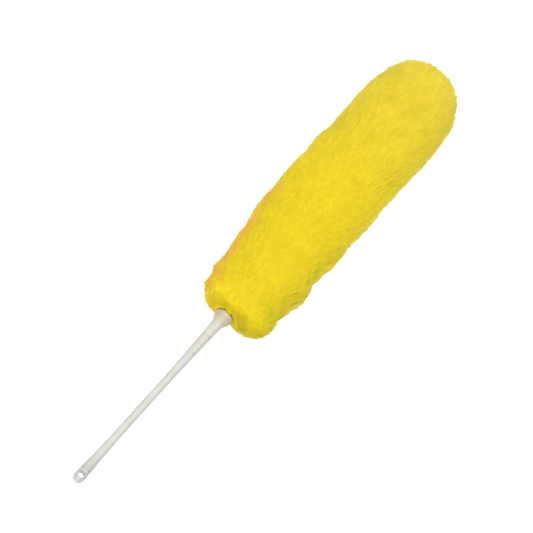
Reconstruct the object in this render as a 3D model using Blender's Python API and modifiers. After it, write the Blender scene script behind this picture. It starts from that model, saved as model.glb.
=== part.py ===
"""Hand duster: a fluffy pile head on a twisted wire, a flared collar, a waisted tube and a hanging eye.

The duster lies along +X, from the hanging eye's end to the head's tip, and rests on the pile's underside at
z = 0. Every piece is modelled about the duster's axis, with x counted from the hanging eye's end, and is
parented to an empty that lifts the axis to its height over the floor.
"""

import math

import bmesh
import bpy
from mathutils import Vector

# Driving dimensions, in metres
OVERALL_LENGTH = 0.620
FIT_GAP = 0.0003
CUT_OVERRUN = 0.002
MERGE_DISTANCE = 0.00001

# Hanging eye: a bullet-shaped plug with two flats and a cross hole
EYE_LENGTH = 0.0167
EYE_RADIUS = 0.00665
EYE_NOSE_LENGTH = 0.0091
EYE_SHOULDER_RADIUS = 0.00605
EYE_THICKNESS = 0.0096
EYE_HOLE_RADIUS = 0.0033
EYE_HOLE_END_WALL = 0.0061
EYE_HOLE_CHAMFER = 0.0005
EYE_SPIGOT_LENGTH = 0.014
EYE_SPIGOT_CHAMFER = 0.0008

# Handle tube: waisted outside, with a wider bore at its head end
TUBE_TAIL_RADIUS = 0.0060
TUBE_WAIST_RADIUS = 0.00445
TUBE_COLLAR_RADIUS = 0.0057
TUBE_TAIL_TAPER_LENGTH = 0.063
TUBE_HEAD_TAPER_LENGTH = 0.064
TUBE_BORE_RADIUS = 0.0030
TUBE_SOCKET_RADIUS = 0.00385
TUBE_SOCKET_DEPTH = 0.056
TUBE_NECK_RADIUS = 0.00495
TUBE_NECK_LENGTH = 0.016

# Collar: a sleeve over the tube's neck, a cone and a rounded lip round a cup
COLLAR_SLEEVE_START_RADIUS = 0.0062
COLLAR_SLEEVE_END_RADIUS = 0.0065
COLLAR_SLEEVE_LENGTH = 0.0195
COLLAR_FLARE_LENGTH = 0.0092
COLLAR_LIP_RADIUS = 0.0104
COLLAR_LIP_DEPTH = 0.0048
COLLAR_CUP_MOUTH_RADIUS = 0.0074
COLLAR_CUP_FLOOR_RADIUS = 0.0052
COLLAR_WEB_THICKNESS = 0.003

# Core: one wire, folded at the tip and twisted on itself
WIRE_RADIUS = 0.0010
WIRE_HALF_SPACING = 0.0013
TWIST_LEAD = 0.1066
WIRE_POINTS_PER_TURN = 14
WIRE_FOLD_POINTS = 5
WIRE_END_INSET = 0.004

# Bush and crimp sleeve on the wire, inside the tube's socket
BUSH_LENGTH = 0.038
BUSH_CHAMFER = 0.0006
CRIMP_LENGTH = 0.010
CRIMP_WALL = 0.0007
CRIMP_GROOVE_DEPTH = 0.0003
CRIMP_GROOVE_WIDTH = 0.0016
CRIMP_GROOVE_COUNT = 2

# Tip cap over the wire's fold
CAP_RADIUS = 0.0047
CAP_LENGTH = 0.017
CAP_BORE_DEPTH = 0.012
CAP_DOME_LENGTH = 0.0035

# Pile
PILE_LENGTH = 0.3650
PILE_RADIUS = 0.0522
PILE_BASE_RADIUS = 0.0452
PILE_SWELL_LENGTH = 0.112
PILE_BASE_ROUND_LENGTH = 0.022
PILE_TIP_ROUND_LENGTH = 0.060
PILE_LOBE_DEPTH = 0.0013
PILE_LOBE_FADE_LENGTH = 0.030
PILE_FIRST_CREST = 0.0175
PILE_SQUASH = 0.0035
PILE_COLLAR_GAP = 0.001
PILE_BEYOND_CAP = 0.045
PILE_STUB_LENGTH = 0.005
PILE_BASE_POWER = 2.5
PILE_TIP_POWER = 2.15
PILE_STATION_LENGTH = 0.0046
PILE_SWEEP_LENGTH = 0.055
PILE_SWEEP_TOP_SHARE = 0.80
PILE_SWEEP_UNDERSIDE_SHARE = 0.40
PILE_CREASE_PITCH = 0.0183
PILE_CREASE_DEPTH = 0.0026
PILE_CREASE_SLANT = 1.1
PILE_CREASES_START = 0.027
PILE_CREASES_END = 0.137
PILE_CREASES_FADE = 0.009
PILE_CREASES_LEVEL_SHARE = 0.60

# How far each flank stands out at its knots: shares of the pile's length and of its radius
PILE_LEFT_FLANK_SHARES = (
    (0.000, 0.000),
    (0.033, -0.019),
    (0.063, -0.100),
    (0.101, -0.057),
    (0.137, -0.054),
    (0.175, -0.107),
    (0.214, -0.080),
    (0.252, -0.046),
    (0.290, 0.000),
    (0.850, 0.000),
    (0.890, -0.057),
    (0.932, -0.042),
    (0.960, 0.000),
    (1.000, 0.000),
)
PILE_RIGHT_FLANK_SHARES = (
    (0.000, 0.000),
    (0.027, 0.134),
    (0.063, 0.100),
    (0.101, 0.046),
    (0.137, 0.069),
    (0.175, 0.051),
    (0.214, 0.034),
    (0.252, 0.010),
    (0.329, 0.000),
    (0.865, 0.000),
    (0.945, -0.050),
    (1.000, 0.000),
)

# Facets
TURNED_SEGMENTS = 32
EYE_NOSE_STEPS = 9
EYE_SHOULDER_STEPS = 5
TUBE_TAPER_STEPS = 10
LIP_STEPS = 10
CAP_DOME_STEPS = 5
WIRE_ROUNDING_STEPS = 2
PILE_SEGMENTS = 44
PILE_TIP_STEPS = 12
PILE_BASE_STEPS = 9

# Places along the axis that follow from the sizes above
PILE_START = OVERALL_LENGTH - PILE_LENGTH
COLLAR_END = PILE_START - PILE_COLLAR_GAP
COLLAR_LIP_START = COLLAR_END - COLLAR_LIP_DEPTH
COLLAR_FLARE_START = COLLAR_LIP_START - COLLAR_FLARE_LENGTH
COLLAR_START = COLLAR_FLARE_START - COLLAR_SLEEVE_LENGTH
TUBE_START = EYE_LENGTH + FIT_GAP
TUBE_STEP = COLLAR_START - FIT_GAP
TUBE_TAIL_END = TUBE_START + TUBE_TAIL_TAPER_LENGTH
TUBE_HEAD_START = TUBE_STEP - TUBE_HEAD_TAPER_LENGTH
TUBE_END = TUBE_STEP + TUBE_NECK_LENGTH
WEB_START = TUBE_END + FIT_GAP
WEB_END = WEB_START + COLLAR_WEB_THICKNESS
CAP_END = OVERALL_LENGTH - PILE_BEYOND_CAP
CAP_START = CAP_END - CAP_LENGTH
WIRE_TIP = CAP_START + CAP_BORE_DEPTH - FIT_GAP
BUSH_END = TUBE_END - FIT_GAP
BUSH_START = BUSH_END - BUSH_LENGTH
CRIMP_END = BUSH_START - FIT_GAP
CRIMP_START = CRIMP_END - CRIMP_LENGTH
SOCKET_START = TUBE_END - TUBE_SOCKET_DEPTH
WIRE_START = SOCKET_START + WIRE_END_INSET

# Radii that follow from the sizes above
CORE_RADIUS = WIRE_HALF_SPACING + WIRE_RADIUS
CORE_BORE_RADIUS = CORE_RADIUS + FIT_GAP
AXIS_HEIGHT = PILE_RADIUS - PILE_SQUASH


def clear_scene():
    """Remove every object of the open file."""
    for obj in list(bpy.data.objects):
        bpy.data.objects.remove(obj, do_unlink=True)


def new_collection(name):
    """Return a new collection, linked to the scene."""
    collection = bpy.data.collections.new(name)
    bpy.context.scene.collection.children.link(collection)
    return collection


def new_material(name, colour, roughness, metallic=0.0):
    """Return a Principled material."""
    material = bpy.data.materials.new(name)
    material.use_nodes = True
    shader = material.node_tree.nodes["Principled BSDF"]
    shader.inputs["Base Color"].default_value = (*colour, 1.0)
    shader.inputs["Roughness"].default_value = roughness
    shader.inputs["Metallic"].default_value = metallic
    return material


def add_object(name, data, collection, axis, material=None):
    """Put data in the scene as an object that is parented to the duster's axis."""
    obj = bpy.data.objects.new(name, data)
    obj.parent = axis
    collection.objects.link(obj)
    if material:
        data.materials.append(material)
    return obj


def profile_mesh(name, points, closed):
    """Return a mesh of the edges through points, each (x along the axis, radius)."""
    mesh = bpy.data.meshes.new(name)
    shape = bmesh.new()
    corners = [shape.verts.new((along, radius, 0.0)) for along, radius in points]
    for first, second in zip(corners, corners[1:]):
        shape.edges.new((first, second))
    if closed:
        shape.edges.new((corners[-1], corners[0]))
    shape.to_mesh(mesh)
    shape.free()
    return mesh


def add_screw(obj, segments):
    """Turn an object's profile about the duster's axis."""
    screw = obj.modifiers.new("Turn", "SCREW")
    screw.axis = "X"
    screw.steps = segments
    screw.render_steps = segments
    screw.use_merge_vertices = True
    screw.merge_threshold = MERGE_DISTANCE
    screw.use_smooth_shade = True


def turned(name, points, closed, collection, axis, material, segments=TURNED_SEGMENTS):
    """Return a turned piece. Its profile runs from the head end to the hanging end on the outer side."""
    obj = add_object(name, profile_mesh(name, points, closed), collection, axis, material)
    add_screw(obj, segments)
    return obj


def cut(obj, cutter):
    """Subtract a cutter from an object."""
    boolean = obj.modifiers.new(cutter.name, "BOOLEAN")
    boolean.operation = "DIFFERENCE"
    boolean.solver = "EXACT"
    boolean.object = cutter


def as_cutter(obj):
    """Keep a cutter out of renders."""
    obj.hide_render = True
    obj.display_type = "WIRE"
    return obj


def spaced(start, end, steps):
    """Return steps + 1 evenly spaced values from start to end."""
    return [start + (end - start) * step / steps for step in range(steps + 1)]


def eye_radius(along):
    """Return the hanging eye's radius: a half ellipse, then a slow taper to the shoulder."""
    if along < EYE_NOSE_LENGTH:
        share = 1.0 - along / EYE_NOSE_LENGTH
        return EYE_RADIUS * math.sqrt(max(0.0, 1.0 - share * share))
    share = (along - EYE_NOSE_LENGTH) / (EYE_LENGTH - EYE_NOSE_LENGTH)
    return EYE_RADIUS + (EYE_SHOULDER_RADIUS - EYE_RADIUS) * share * share


def make_hang_eye(parts, cutters, axis, plastic):
    """Make the end plug: a turned bullet with a spigot, two flats and a chamfered cross hole."""
    spigot_radius = TUBE_BORE_RADIUS - FIT_GAP
    spigot_end = EYE_LENGTH + EYE_SPIGOT_LENGTH
    nose_angles = spaced(math.pi / 2, 0.0, EYE_NOSE_STEPS)
    outline = [
        (spigot_end, 0.0),
        (spigot_end, spigot_radius - EYE_SPIGOT_CHAMFER),
        (spigot_end - EYE_SPIGOT_CHAMFER, spigot_radius),
        (EYE_LENGTH, spigot_radius),
    ]
    for along in spaced(EYE_LENGTH, EYE_NOSE_LENGTH, EYE_SHOULDER_STEPS):
        outline.append((along, eye_radius(along)))
    for angle in nose_angles[1:]:
        along = EYE_NOSE_LENGTH * (1.0 - math.cos(angle))
        outline.append((along, EYE_RADIUS * math.sin(angle)))
    eye = turned("hang_eye", outline, False, parts, axis, plastic)

    half_thickness = EYE_THICKNESS / 2
    flat_depth = EYE_RADIUS - half_thickness + CUT_OVERRUN
    for side, label in ((1, "upper"), (-1, "lower")):
        mesh = bpy.data.meshes.new(f"eye_{label}_flat_cutter")
        shape = bmesh.new()
        bmesh.ops.create_cube(shape, size=1.0)
        length = EYE_LENGTH + CUT_OVERRUN
        width = 2 * (EYE_RADIUS + CUT_OVERRUN)
        bmesh.ops.scale(shape, vec=(length, width, flat_depth), verts=shape.verts)
        centre = Vector(((EYE_LENGTH - CUT_OVERRUN) / 2, 0.0, side * (half_thickness + flat_depth / 2)))
        bmesh.ops.translate(shape, vec=centre, verts=shape.verts)
        shape.to_mesh(mesh)
        shape.free()
        cut(eye, as_cutter(add_object(mesh.name, mesh, cutters, axis)))

    reach = half_thickness + CUT_OVERRUN
    mouth_radius = EYE_HOLE_RADIUS + EYE_HOLE_CHAMFER
    spool = [
        (reach, 0.0),
        (reach, mouth_radius),
        (half_thickness, mouth_radius),
        (half_thickness - EYE_HOLE_CHAMFER, EYE_HOLE_RADIUS),
        (EYE_HOLE_CHAMFER - half_thickness, EYE_HOLE_RADIUS),
        (-half_thickness, mouth_radius),
        (-reach, mouth_radius),
        (-reach, 0.0),
    ]
    hole = turned("eye_hole_cutter", spool, False, cutters, axis, None)
    hole.rotation_euler = (0.0, -math.pi / 2, 0.0)
    hole.location = (EYE_HOLE_END_WALL + EYE_HOLE_RADIUS, 0.0, 0.0)
    cut(eye, as_cutter(hole))


def tube_radius(along):
    """Return the tube's outer radius: a curved taper at the tail, a waist and a straight one at the head."""
    tail_share = max(0.0, (TUBE_TAIL_END - along) / TUBE_TAIL_TAPER_LENGTH)
    head_share = max(0.0, (along - TUBE_HEAD_START) / TUBE_HEAD_TAPER_LENGTH)
    tail = (TUBE_TAIL_RADIUS - TUBE_WAIST_RADIUS) * tail_share * tail_share
    head = (TUBE_COLLAR_RADIUS - TUBE_WAIST_RADIUS) * head_share
    return TUBE_WAIST_RADIUS + tail + head


def make_handle_tube(parts, axis, plastic):
    """Make the waisted tube, with its stepped neck and its wider socket at the head end."""
    stations = {TUBE_STEP, TUBE_HEAD_START, *spaced(TUBE_START, TUBE_TAIL_END, TUBE_TAPER_STEPS)}
    outline = [(TUBE_END, TUBE_SOCKET_RADIUS), (TUBE_END, TUBE_NECK_RADIUS), (TUBE_STEP, TUBE_NECK_RADIUS)]
    for along in sorted(stations, reverse=True):
        outline.append((along, tube_radius(along)))
    outline.append((TUBE_START, TUBE_BORE_RADIUS))
    outline.append((SOCKET_START, TUBE_BORE_RADIUS))
    outline.append((SOCKET_START, TUBE_SOCKET_RADIUS))
    turned("handle_tube", outline, True, parts, axis, plastic)


def cup_radius(along):
    """Return the radius of the collar's cup, a cone from its floor to its mouth."""
    share = (along - WEB_END) / (COLLAR_END - WEB_END)
    return COLLAR_CUP_FLOOR_RADIUS + (COLLAR_CUP_MOUTH_RADIUS - COLLAR_CUP_FLOOR_RADIUS) * share


def make_collar(parts, axis, plastic):
    """Make the collar: sleeve, cone, rounded lip, cup for the pile's root, and a web for the wire."""
    lip_drop = COLLAR_LIP_RADIUS - COLLAR_CUP_MOUTH_RADIUS
    outline = [(WEB_END, CORE_BORE_RADIUS), (WEB_END, COLLAR_CUP_FLOOR_RADIUS)]
    for angle in spaced(0.0, math.pi / 2, LIP_STEPS):
        along = COLLAR_LIP_START + COLLAR_LIP_DEPTH * math.cos(angle)
        outline.append((along, COLLAR_CUP_MOUTH_RADIUS + lip_drop * math.sin(angle)))
    outline.append((COLLAR_FLARE_START, COLLAR_SLEEVE_END_RADIUS))
    outline.append((COLLAR_START, COLLAR_SLEEVE_START_RADIUS))
    outline.append((COLLAR_START, TUBE_NECK_RADIUS + FIT_GAP))
    outline.append((WEB_START, TUBE_NECK_RADIUS + FIT_GAP))
    outline.append((WEB_START, CORE_BORE_RADIUS))
    turned("collar", outline, True, parts, axis, plastic)


def make_core_wire(parts, axis, steel):
    """Make the wire: out along one strand, round the fold at the tip and back along the other."""
    fold_start = WIRE_TIP - WIRE_RADIUS - WIRE_HALF_SPACING
    steps = round((fold_start - WIRE_START) / TWIST_LEAD * WIRE_POINTS_PER_TURN)
    strand = []
    for along in spaced(WIRE_START, fold_start, steps):
        angle = math.tau * (along - fold_start) / TWIST_LEAD
        aside = Vector((0.0, math.cos(angle), math.sin(angle))) * WIRE_HALF_SPACING
        strand.append(Vector((along, 0.0, 0.0)) + aside)
    fold = []
    for angle in spaced(0.0, math.pi, WIRE_FOLD_POINTS + 1)[1:-1]:
        offset = Vector((math.sin(angle), math.cos(angle), 0.0)) * WIRE_HALF_SPACING
        fold.append(Vector((fold_start, 0.0, 0.0)) + offset)
    back = [Vector((point.x, -point.y, -point.z)) for point in reversed(strand)]
    route = strand + fold + back

    curve = bpy.data.curves.new("core_wire", "CURVE")
    curve.dimensions = "3D"
    curve.bevel_depth = WIRE_RADIUS
    curve.bevel_resolution = WIRE_ROUNDING_STEPS
    curve.use_fill_caps = True
    spline = curve.splines.new("POLY")
    spline.points.add(len(route) - 1)
    for point, place in zip(spline.points, route):
        point.co = (*place, 1.0)
        point.radius = 1.0
    add_object("core_wire", curve, parts, axis, steel)


def ring(start, end, inner, outer, chamfer):
    """Return a ring's profile, chamfered at both ends of its outer side."""
    return [
        (end, inner),
        (end, outer - chamfer),
        (end - chamfer, outer),
        (start + chamfer, outer),
        (start, outer - chamfer),
        (start, inner),
    ]


def make_core_bush(parts, axis, plastic):
    """Make the bush that centres the wire in the tube's socket."""
    outer = TUBE_SOCKET_RADIUS - FIT_GAP
    outline = ring(BUSH_START, BUSH_END, CORE_BORE_RADIUS, outer, BUSH_CHAMFER)
    turned("core_bush", outline, True, parts, axis, plastic)


def make_crimp_sleeve(parts, axis, steel):
    """Make the metal sleeve on the wire's cut ends, with its crimped grooves."""
    outer = CORE_BORE_RADIUS + CRIMP_WALL
    pitch = CRIMP_LENGTH / (CRIMP_GROOVE_COUNT + 1)
    outline = [(CRIMP_END, CORE_BORE_RADIUS), (CRIMP_END, outer)]
    for groove in range(CRIMP_GROOVE_COUNT):
        middle = CRIMP_END - pitch * (groove + 1)
        outline.append((middle + CRIMP_GROOVE_WIDTH / 2, outer))
        outline.append((middle, outer - CRIMP_GROOVE_DEPTH))
        outline.append((middle - CRIMP_GROOVE_WIDTH / 2, outer))
    outline += [(CRIMP_START, outer), (CRIMP_START, CORE_BORE_RADIUS)]
    turned("crimp_sleeve", outline, True, parts, axis, steel)


def make_tip_cap(parts, axis, plastic):
    """Make the domed cap over the wire's fold."""
    outline = []
    for angle in spaced(0.0, math.pi / 2, CAP_DOME_STEPS):
        along = CAP_END - CAP_DOME_LENGTH * (1.0 - math.cos(angle))
        outline.append((along, CAP_RADIUS * math.sin(angle)))
    bore_end = CAP_START + CAP_BORE_DEPTH
    outline += [(CAP_START, CAP_RADIUS), (CAP_START, CORE_BORE_RADIUS)]
    outline += [(bore_end, CORE_BORE_RADIUS), (bore_end, 0.0)]
    turned("tip_cap", outline, False, parts, axis, plastic)


def eased(share):
    """Return a smooth step from 0 to 1."""
    share = min(1.0, max(0.0, share))
    return share * share * (3.0 - 2.0 * share)


def pile_radius(along):
    """Return the pile's mean radius at a place along it: blunt base, slow swell and domed tip."""
    radius = PILE_BASE_RADIUS + (PILE_RADIUS - PILE_BASE_RADIUS) * eased(along / PILE_SWELL_LENGTH)
    if along < PILE_BASE_ROUND_LENGTH:
        share = 1.0 - along / PILE_BASE_ROUND_LENGTH
        radius *= (1.0 - share**PILE_BASE_POWER) ** (1.0 / PILE_BASE_POWER)
    left = PILE_LENGTH - along
    if left < PILE_TIP_ROUND_LENGTH:
        share = min(1.0, 1.0 - left / PILE_TIP_ROUND_LENGTH)
        radius *= (1.0 - share**PILE_TIP_POWER) ** (1.0 / PILE_TIP_POWER)
    return radius


def pile_lobe(along, angle):
    """Return how far the pile stands proud at a place: two lobes that turn with the wire's twist."""
    fade = min(1.0, along / PILE_LOBE_FADE_LENGTH, (PILE_LENGTH - along) / PILE_LOBE_FADE_LENGTH)
    fade = max(0.0, fade)
    turn = math.tau * (along - PILE_FIRST_CREST) / TWIST_LEAD
    return PILE_LOBE_DEPTH * fade * math.cos(2.0 * (angle + turn))


def swept_radius(along, angle, radius):
    """Return the radius once the fibres are swept flatter above and below the collar."""
    rise = math.sin(angle)
    top_weight = (1.0 + rise) / 2
    sweep = PILE_SWEEP_UNDERSIDE_SHARE + (PILE_SWEEP_TOP_SHARE - PILE_SWEEP_UNDERSIDE_SHARE) * top_weight
    kept = 1.0 - sweep * rise * rise * (1.0 - eased(along / PILE_SWEEP_LENGTH))
    return COLLAR_LIP_RADIUS + (radius - COLLAR_LIP_RADIUS) * kept


def pile_crease(along, angle):
    """Return how deep a place lies in the right flank's creases, which slant inward towards the tip."""
    level_share = max(0.0, -math.cos(angle))
    slant = PILE_CREASE_SLANT * PILE_RADIUS * (1.0 - level_share)
    turn = math.tau * (along - PILE_CREASES_START - PILE_CREASES_FADE - slant) / PILE_CREASE_PITCH
    start_share = eased((along - PILE_CREASES_START) / PILE_CREASES_FADE)
    end_share = eased((PILE_CREASES_END - along) / PILE_CREASES_FADE)
    side_share = eased((level_share - PILE_CREASES_LEVEL_SHARE) / (1.0 - PILE_CREASES_LEVEL_SHARE))
    return PILE_CREASE_DEPTH * max(0.0, math.cos(turn)) ** 2 * start_share * end_share * side_share


def flank_offset(along, shares):
    """Return how far a flank stands out at a place along the pile, between the knots of its shares."""
    place = min(1.0, max(0.0, along / PILE_LENGTH))
    stretches = [stretch for stretch in zip(shares, shares[1:]) if place <= stretch[1][0]]
    (start, low), (end, high) = stretches[0]
    return PILE_RADIUS * (low + (high - low) * eased((place - start) / (end - start)))


def pile_outline():
    """Return the pile's profile, from its tip over the outside to the base, and back up its bore."""
    tip_angles = spaced(0.0, math.pi / 2, PILE_TIP_STEPS)
    base_angles = spaced(0.0, math.pi / 2, PILE_BASE_STEPS)
    stations = [PILE_LENGTH - PILE_TIP_ROUND_LENGTH * (1.0 - math.cos(angle)) for angle in tip_angles]
    body_start = PILE_LENGTH - PILE_TIP_ROUND_LENGTH
    body_steps = round((body_start - PILE_BASE_ROUND_LENGTH) / PILE_STATION_LENGTH)
    stations += spaced(body_start, PILE_BASE_ROUND_LENGTH, body_steps)[1:]
    for angle in base_angles[1:]:
        along = PILE_BASE_ROUND_LENGTH * (1.0 - math.sin(angle))
        if pile_radius(along) > COLLAR_LIP_RADIUS:
            stations.append(along)
    return [(PILE_START + along, pile_radius(along)) for along in stations]


def pile_bore_outline():
    """Return the pile's inner profile: its stub in the collar, the wire's bore and the cap's pocket."""
    stub_start = COLLAR_END - PILE_STUB_LENGTH
    pocket_radius = CAP_RADIUS + FIT_GAP
    return [
        (COLLAR_END + FIT_GAP, cup_radius(COLLAR_END) - FIT_GAP),
        (stub_start, cup_radius(stub_start) - FIT_GAP),
        (stub_start, CORE_BORE_RADIUS),
        (CAP_START - FIT_GAP, CORE_BORE_RADIUS),
        (CAP_START - FIT_GAP, pocket_radius),
        (CAP_END + FIT_GAP, pocket_radius),
        (CAP_END + FIT_GAP, 0.0),
    ]


def make_pile(parts, axis, fleece):
    """Make the pile: a turned body with lobes, a swept base and creased flanks, cut flat where it rests."""
    outline = pile_outline() + pile_bore_outline()
    shape = bmesh.new()
    corners = [shape.verts.new((along, radius, 0.0)) for along, radius in outline]
    edges = [shape.edges.new(pair) for pair in zip(corners, corners[1:])]
    bmesh.ops.spin(
        shape,
        geom=corners + edges,
        axis=(1.0, 0.0, 0.0),
        cent=(0.0, 0.0, 0.0),
        angle=math.tau,
        steps=PILE_SEGMENTS,
        use_merge=True,
    )
    bmesh.ops.remove_doubles(shape, verts=shape.verts, dist=MERGE_DISTANCE)
    for corner in shape.verts:
        radius = math.hypot(corner.co.y, corner.co.z)
        if radius > COLLAR_LIP_RADIUS + FIT_GAP:
            along = corner.co.x - PILE_START
            angle = math.atan2(corner.co.z, corner.co.y)
            relief = pile_lobe(along, angle) - pile_crease(along, angle)
            radius = swept_radius(along, angle, radius + relief)
            shares = PILE_LEFT_FLANK_SHARES if math.cos(angle) > 0.0 else PILE_RIGHT_FLANK_SHARES
            reach_share = (radius - COLLAR_LIP_RADIUS) / (PILE_BASE_RADIUS - COLLAR_LIP_RADIUS)
            weight = math.cos(angle) * min(1.0, reach_share)
            corner.co.y = radius * math.cos(angle) + flank_offset(along, shares) * weight
            corner.co.z = radius * math.sin(angle)
    bmesh.ops.bisect_plane(
        shape,
        geom=[*shape.verts, *shape.edges, *shape.faces],
        dist=MERGE_DISTANCE,
        plane_co=(0.0, 0.0, -AXIS_HEIGHT),
        plane_no=(0.0, 0.0, -1.0),
        clear_outer=True,
    )
    rim = [edge for edge in shape.edges if edge.is_boundary]
    bmesh.ops.holes_fill(shape, edges=rim, sides=0)
    bmesh.ops.recalc_face_normals(shape, faces=shape.faces)
    mesh = bpy.data.meshes.new("pile")
    shape.to_mesh(mesh)
    shape.free()
    mesh.shade_smooth()
    add_object("pile", mesh, parts, axis, fleece)


def main():
    """Build the duster."""
    clear_scene()
    parts = new_collection("hand_duster")
    cutters = new_collection("cutters")
    axis = bpy.data.objects.new("duster_axis", None)
    axis.location = (-OVERALL_LENGTH / 2, 0.0, AXIS_HEIGHT)
    parts.objects.link(axis)

    white_plastic = new_material("white_plastic", (0.80, 0.78, 0.72), 0.35)
    cream_plastic = new_material("cream_plastic", (0.82, 0.78, 0.70), 0.35)
    clear_plastic = new_material("clear_plastic", (0.70, 0.70, 0.66), 0.30)
    inner_plastic = new_material("inner_plastic", (0.55, 0.54, 0.50), 0.50)
    steel = new_material("steel", (0.56, 0.55, 0.53), 0.35, metallic=1.0)
    fleece = new_material("fleece", (0.83, 0.66, 0.02), 0.90)

    make_hang_eye(parts, cutters, axis, clear_plastic)
    make_handle_tube(parts, axis, white_plastic)
    make_collar(parts, axis, cream_plastic)
    make_core_wire(parts, axis, steel)
    make_core_bush(parts, axis, inner_plastic)
    make_crimp_sleeve(parts, axis, steel)
    make_tip_cap(parts, axis, inner_plastic)
    make_pile(parts, axis, fleece)
    bpy.context.view_layer.update()


main()
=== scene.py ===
"""Looks of a hand duster: a fluffy yellow head, a flared collar, a waisted tube and a hanging eye.

The duster lies along +X, from the hanging eye's end to the head's tip. Every piece is shaped about its
axis, with x counted from the hanging eye's end, and is then moved to where the frame has that axis.
"""

import logging
import math
from dataclasses import dataclass
from enum import Enum
from typing import Any, Iterable, Optional, Sequence

import bmesh
import bpy
import numpy as np
from mathutils import Matrix, Vector, kdtree


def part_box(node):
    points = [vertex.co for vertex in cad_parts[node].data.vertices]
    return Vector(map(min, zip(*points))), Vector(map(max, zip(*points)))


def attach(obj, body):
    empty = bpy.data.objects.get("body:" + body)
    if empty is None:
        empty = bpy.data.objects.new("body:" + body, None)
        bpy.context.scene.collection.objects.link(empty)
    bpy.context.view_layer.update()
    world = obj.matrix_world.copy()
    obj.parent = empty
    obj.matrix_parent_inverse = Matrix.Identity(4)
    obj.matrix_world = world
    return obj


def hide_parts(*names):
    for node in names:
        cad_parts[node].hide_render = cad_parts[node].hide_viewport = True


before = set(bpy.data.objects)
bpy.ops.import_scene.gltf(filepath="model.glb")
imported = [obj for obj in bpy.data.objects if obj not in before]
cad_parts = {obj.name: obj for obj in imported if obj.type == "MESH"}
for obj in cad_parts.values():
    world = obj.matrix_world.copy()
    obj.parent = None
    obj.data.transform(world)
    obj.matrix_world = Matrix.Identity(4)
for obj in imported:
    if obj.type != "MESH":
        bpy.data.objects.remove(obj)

Span = tuple[float, float]
Triple = tuple[float, float, float]
Colour = Triple
Outline = list[Span]
Profile = tuple[Span, ...]

BODY = "root"
FIBRE_LAYER = "fibre"
SIDE_LAYER = "side"
RIM_LAYER = "rim"
GOLDEN_ANGLE = math.pi * (3.0 - math.sqrt(5.0))
MERGE_DISTANCE = 0.000005
ON_AXIS = 1e-6
SMALLEST = 1e-9
MIX_UNDER, MIX_OVER, MIX_RESULT = 6, 7, 2

log = logging.getLogger("hand_duster")


class Slot(Enum):
    """Material slots for the pieces that are made again."""

    CLEAR_PLASTIC = "clear_plastic"
    WHITE_PLASTIC = "white_plastic"
    CREAM_PLASTIC = "cream_plastic"
    FLEECE = "fleece"


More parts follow.
